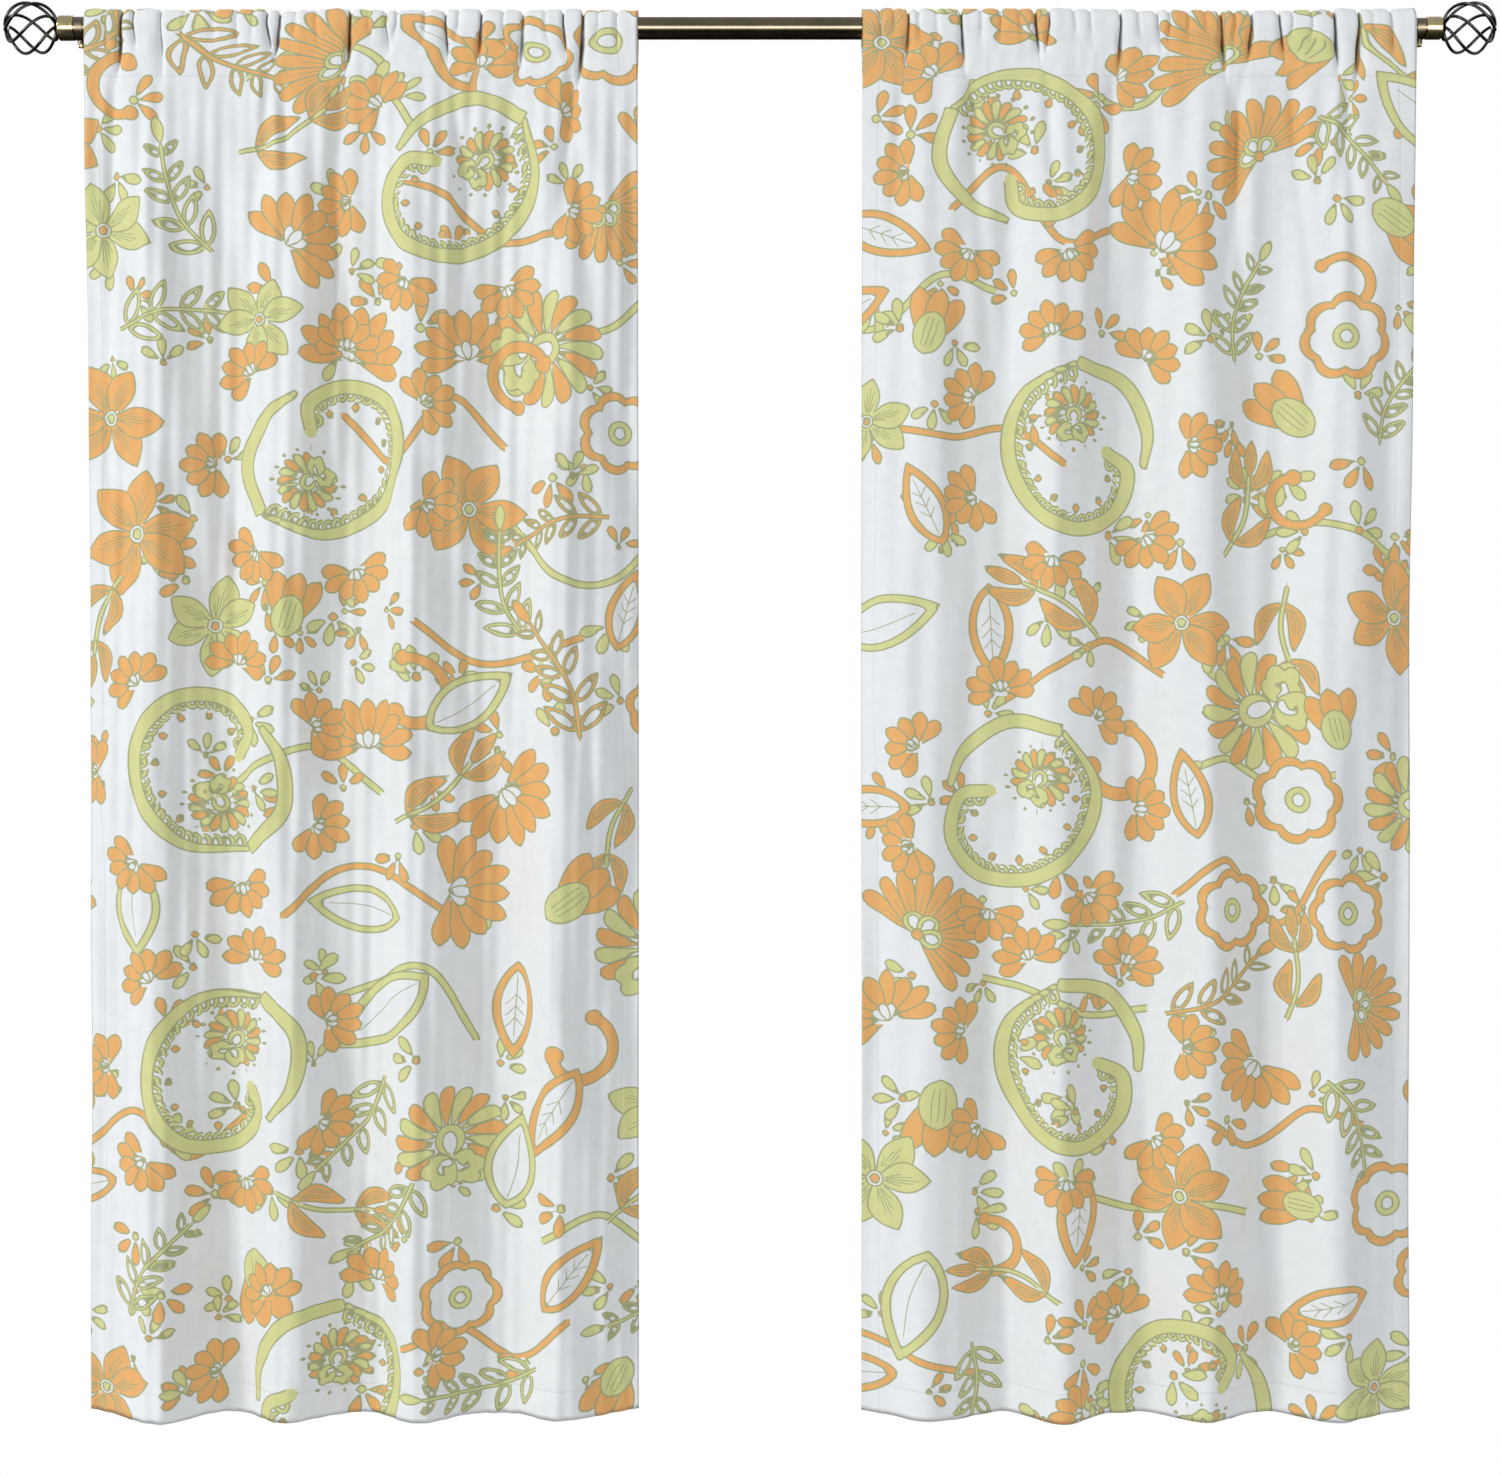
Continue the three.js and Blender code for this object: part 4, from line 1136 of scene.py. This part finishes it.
class CURTAINS_OT_finials(bpy.types.Operator):
    """Makes the collars, necks, tips and twisted wires of both finials"""
    bl_idname = "curtains.finials"
    bl_label = "Finials"

    def execute(self, context):
        settings = context.scene.curtain_metal
        brass = metal_material("antique_brass", settings.brass, 0.17, worn=(0.75, 0.66, 0.4), coat=0.3)
        black = metal_material("black_wire", settings.black, 0.24, worn=(0.16, 0.15, 0.10), coat=0.5)
        for side in SIDES:
            outward = -1 if side == "left" else 1
            self.collar(side, outward, brass)
            centre = middle_of_ball(side)
            for part in ("neck", "tip"):
                self.hub(side, part, outward, black)
            for i in WIRES:
                self.wire(side, i, centre, black)
        return {"FINISHED"}

    def collar(self, side, outward, material):
        low, high = box_of(f"{side}_finial_collar")
        radius = (high.z - low.z) / 2
        mouth, face = (high.x, low.x) if outward < 0 else (low.x, high.x)
        tube = OUTER_TUBE_RADIUS if side == "left" else INNER_TUBE_RADIUS
        profile = [(mouth, tube + 0.3 * MM), (mouth, radius - 0.3 * MM), (mouth + 0.3 * MM * outward, radius),
                   (mouth + 2.2 * MM * outward, radius), (mouth + 2.5 * MM * outward, radius - 0.45 * MM),
                   (mouth + 3.0 * MM * outward, radius - 0.45 * MM), (mouth + 3.3 * MM * outward, radius),
                   (face - 1.2 * MM * outward, radius), (face - 0.5 * MM * outward, radius - 0.25 * MM),
                   (face - 0.1 * MM * outward, radius - 1.0 * MM), (face, radius - 2.2 * MM),
                   (face, 3.4 * MM), (face - 2.4 * MM * outward, 3.4 * MM),
                   (face - 2.4 * MM * outward, tube + 0.3 * MM), (mouth, tube + 0.3 * MM)]
        bm = bmesh.new()
        turned_about_x(bm, [(x - ROD_CENTRE.x, r) for x, r in profile], ROD_CENTRE)
        piece = finish_mesh(bm, f"{side}_collar", material)
        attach(piece, f"{side}_finial")
        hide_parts(f"{side}_finial_collar")

    def hub(self, side, part, outward, material):
        low, high = box_of(f"{side}_finial_{part}")
        radius = (high.z - low.z) / 2
        inner, outer = (high.x, low.x) if outward < 0 else (low.x, high.x)
        length = abs(outer - inner)
        profile = [(0.0, 0.0), (0.0, 0.72 * radius), (0.10 * length, 0.9 * radius), (0.28 * length, radius),
                   (0.62 * length, radius), (0.80 * length, 0.9 * radius), (0.93 * length, 0.62 * radius),
                   (length, 0.25 * radius), (length, 0.0)]
        if part == "neck":
            profile = [(0.0, 0.0), (0.0, 0.95 * radius), (0.08 * length, radius), (0.3 * length, radius),
                       (0.4 * length, 0.86 * radius), (0.5 * length, 0.86 * radius), (0.6 * length, radius),
                       (0.9 * length, radius), (length, 0.9 * radius), (length, 0.0)]
        bm = bmesh.new()
        turned_about_x(bm, [(inner + outward * x - ROD_CENTRE.x, r) for x, r in profile], ROD_CENTRE, 40)
        piece = finish_mesh(bm, f"{side}_{part}", material)
        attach(piece, f"{side}_finial")
        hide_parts(f"{side}_finial_{part}")

    def wire(self, side, i, centre, material):
        """One round wire that turns about the rod's axis on its way from hub to hub."""
        outward = -1 if side == "left" else 1
        last = math.acos(WIRE_END / BALL_RADIUS)
        start = (i - 0.7) * 2 * math.pi / len(WIRES)
        curve = bpy.data.curves.new(f"{side}_wire_{i}", "CURVE")
        curve.dimensions = "3D"
        curve.bevel_depth = WIRE_THICKNESS / 2
        curve.bevel_resolution = 5
        curve.use_fill_caps = True
        line = curve.splines.new("POLY")
        line.points.add(WIRE_STEPS)
        for k, point in enumerate(line.points):
            latitude = last * (2 * k / WIRE_STEPS - 1)
            angle = start + outward * WIRE_TWIST * latitude / math.pi
            reach = BALL_RADIUS * math.cos(latitude)
            from_middle = Vector((BALL_RADIUS * math.sin(latitude), reach * math.cos(angle), reach * math.sin(angle)))
            point.co = (*(centre + from_middle), 1.0)
        bent = bpy.data.objects.new("bent_wire", curve)
        bpy.context.scene.collection.objects.link(bent)
        mesh = bpy.data.meshes.new_from_object(bent.evaluated_get(bpy.context.evaluated_depsgraph_get()))
        mesh.name = f"{side}_wire_{i}"
        bpy.data.objects.remove(bent)
        bpy.data.curves.remove(curve)
        piece = bpy.data.objects.new(mesh.name, mesh)
        bpy.context.scene.collection.objects.link(piece)
        mesh.materials.clear()
        mesh.materials.append(material)
        mesh.polygons.foreach_set("use_smooth", np.ones(len(mesh.polygons), bool))
        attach(piece, f"{side}_finial")
        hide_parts(f"{side}_finial_wire_{i}")


def middle_of_ball(side):
    spans = [box_of(f"{side}_finial_wire_{i}") for i in WIRES]
    low, high = min(s[0][0] for s in spans), max(s[1][0] for s in spans)
    return Vector(((low + high) / 2, ROD_CENTRE.y, ROD_CENTRE.z))


class CURTAINS_OT_fixings(bpy.types.Operator):
    """Gives the brackets, plates, screws and plugs their finishes"""
    bl_idname = "curtains.fixings"
    bl_label = "Brackets and fixings"

    def execute(self, context):
        settings = context.scene.curtain_metal
        cast = metal_material("bracket_bronze", settings.bronze, 0.3, worn=(0.3, 0.24, 0.15), coat=0.4)
        knob = metal_material("knob_brass", settings.brass, 0.26, worn=(0.7, 0.62, 0.4))
        zinc = metal_material("zinc_plate", (0.55, 0.55, 0.56), 0.3, worn=(0.8, 0.8, 0.8))
        nylon = metal_material("nylon_plug", (0.72, 0.7, 0.66), 0.5, metallic=0.0)
        finishes = {"bracket_arm": cast, "wall_plate": cast, "clamp_screw": knob, "upper_screw": zinc,
                    "lower_screw": zinc, "finial_stud": zinc, "end_plug": nylon, "guide_plug": nylon}
        for name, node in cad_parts.items():
            for ending, material in finishes.items():
                if name.endswith(ending):
                    node.data.materials.clear()
                    node.data.materials.append(material)
        return {"FINISHED"}


class CURTAINS_OT_stage(bpy.types.Operator):
    """Sets the floor, the soft lights and the camera"""
    bl_idname = "curtains.stage"
    bl_label = "Floor, lights and camera"

    def execute(self, context):
        settings = context.scene.curtain_stage
        scene = context.scene
        floor_material, tree, shader = new_material("floor_paint")
        noise = add_node(tree, "TexNoise", {"Vector": add_node(tree, "TexCoord").outputs["Object"], "Scale": 3.0})
        shade = ramp_node(tree, noise.outputs[0], [(0.3, (0.82, 0.82, 0.82)), (0.7, (0.85, 0.85, 0.85))])
        tree.links.new(shade, shader.inputs["Base Color"])
        shader.inputs["Roughness"].default_value = 0.7
        bm = bmesh.new()
        bmesh.ops.create_grid(bm, x_segments=2, y_segments=2, size=1)
        bmesh.ops.scale(bm, vec=(2.0, 1.1, 1.0), verts=bm.verts)
        bmesh.ops.translate(bm, vec=(ROD_CENTRE.x, -0.1, HEM_Z - 0.42), verts=bm.verts)
        finish_mesh(bm, "floor", floor_material)

        world = bpy.data.worlds.new("studio")
        scene.world = world
        world.use_nodes = True
        background = world.node_tree.nodes["Background"]
        seen = world.node_tree.nodes.new("ShaderNodeLightPath").outputs["Is Camera Ray"]
        strength = world.node_tree.nodes.new("ShaderNodeMapRange")
        world.node_tree.links.new(seen, strength.inputs[0])
        strength.inputs[3].default_value = settings.room_light
        strength.inputs[4].default_value = 1.0
        world.node_tree.links.new(strength.outputs[0], background.inputs[1])
        background.inputs[0].default_value = (1.0, 1.0, 1.0, 1.0)

        target = Vector((ROD_CENTRE.x, 0, ROD_CENTRE.z - settings.camera_drop))
        # Each lamp's name, place from the middle of the view, size in metres and power.
        for name, offset, size, power in (("key", (-6.4, -4.4, 3.4), 2.2, 4.6 * settings.key_power),
                                          ("fill", (2.4, -2.8, 0.4), 2.2, 0.20 * settings.key_power),
                                          ("back", (0.4, 2.2, 1.4), 1.8, 0.3 * settings.key_power)):
            light = bpy.data.lights.new(name, "AREA")
            light.energy = power
            light.shape = "SQUARE"
            light.size = size
            lamp = bpy.data.objects.new(name, light)
            lamp.location = target + Vector(offset)
            lamp.rotation_euler = (-Vector(offset)).to_track_quat("-Z", "Y").to_euler()
            scene.collection.objects.link(lamp)

        # A long lamp and dark boards that only show as reflections in the metal.
        strip = bpy.data.lights.new("strip", "AREA")
        strip.energy = 0.58 * settings.key_power
        strip.shape = "RECTANGLE"
        strip.size, strip.size_y = 3.6, 0.6
        lamp = bpy.data.objects.new("strip", strip)
        lamp.location = ROD_CENTRE + Vector((0, -1.5, -0.16))
        lamp.rotation_euler = (ROD_CENTRE - lamp.location).to_track_quat("-Z", "Y").to_euler()
        lamp.visible_diffuse = False
        scene.collection.objects.link(lamp)
        board_material, _, board_shader = new_material("dark_board")
        board_shader.inputs["Base Color"].default_value = (0.012, 0.008, 0.005, 1.0)
        for name, middle, size, tilt in (("floor_board", (0, -0.6, -1.9), (3.0, 2.6), 0.0),
                                         ("wall_board", (0, 1.4, -0.9), (3.0, 1.2), math.pi / 2)):
            bm = bmesh.new()
            bmesh.ops.create_grid(bm, x_segments=1, y_segments=1, size=1)
            bmesh.ops.scale(bm, vec=(*size, 1.0), verts=bm.verts)
            bmesh.ops.rotate(bm, matrix=Matrix.Rotation(tilt, 3, "X"), verts=bm.verts)
            bmesh.ops.translate(bm, vec=ROD_CENTRE + Vector(middle), verts=bm.verts)
            board = finish_mesh(bm, name, board_material)
            board.visible_camera = board.visible_diffuse = board.visible_shadow = False

        lens = bpy.data.cameras.new("camera")
        lens.sensor_width = 36.0
        lens.lens = lens.sensor_width * settings.camera_distance / settings.view_width
        camera = bpy.data.objects.new("camera", lens)
        camera.location = (ROD_CENTRE.x, ROD_CENTRE.y - settings.camera_distance, ROD_CENTRE.z - settings.camera_drop)
        camera.rotation_euler = (math.pi / 2, 0, 0)
        scene.collection.objects.link(camera)
        scene.camera = camera
        scene.view_settings.view_transform = "Standard"
        return {"FINISHED"}


class CURTAINS_PT_panel(bpy.types.Panel):
    """The curtains' settings and steps"""
    bl_idname = "CURTAINS_PT_panel"
    bl_label = "Curtains on a rod"
    bl_space_type = "VIEW_3D"
    bl_region_type = "UI"
    bl_category = "Curtains"

    def draw(self, context):
        for group in ("curtain_cloth", "curtain_metal", "curtain_stage"):
            settings = getattr(context.scene, group)
            for name in settings.bl_rna.properties.keys():
                if name not in ("rna_type", "name"):
                    self.layout.prop(settings, name)
        for operator in OPERATORS:
            self.layout.operator(operator.bl_idname)


GROUPS = {"curtain_cloth": CurtainClothSettings, "curtain_metal": CurtainMetalSettings,
          "curtain_stage": CurtainStageSettings}
OPERATORS = (CURTAINS_OT_panels, CURTAINS_OT_rod, CURTAINS_OT_finials, CURTAINS_OT_fixings, CURTAINS_OT_stage)


def register():
    for name, group in GROUPS.items():
        bpy.utils.register_class(group)
        setattr(bpy.types.Scene, name, PointerProperty(type=group))
    for part in (*OPERATORS, CURTAINS_PT_panel):
        bpy.utils.register_class(part)


def unregister():
    for part in (CURTAINS_PT_panel, *reversed(OPERATORS)):
        bpy.utils.unregister_class(part)
    for name, group in GROUPS.items():
        delattr(bpy.types.Scene, name)
        bpy.utils.unregister_class(group)


def main():
    register()
    bpy.ops.curtains.panels()
    bpy.ops.curtains.rod()
    bpy.ops.curtains.finials()
    bpy.ops.curtains.fixings()
    bpy.ops.curtains.stage()


if __name__ == "__main__":
    main()
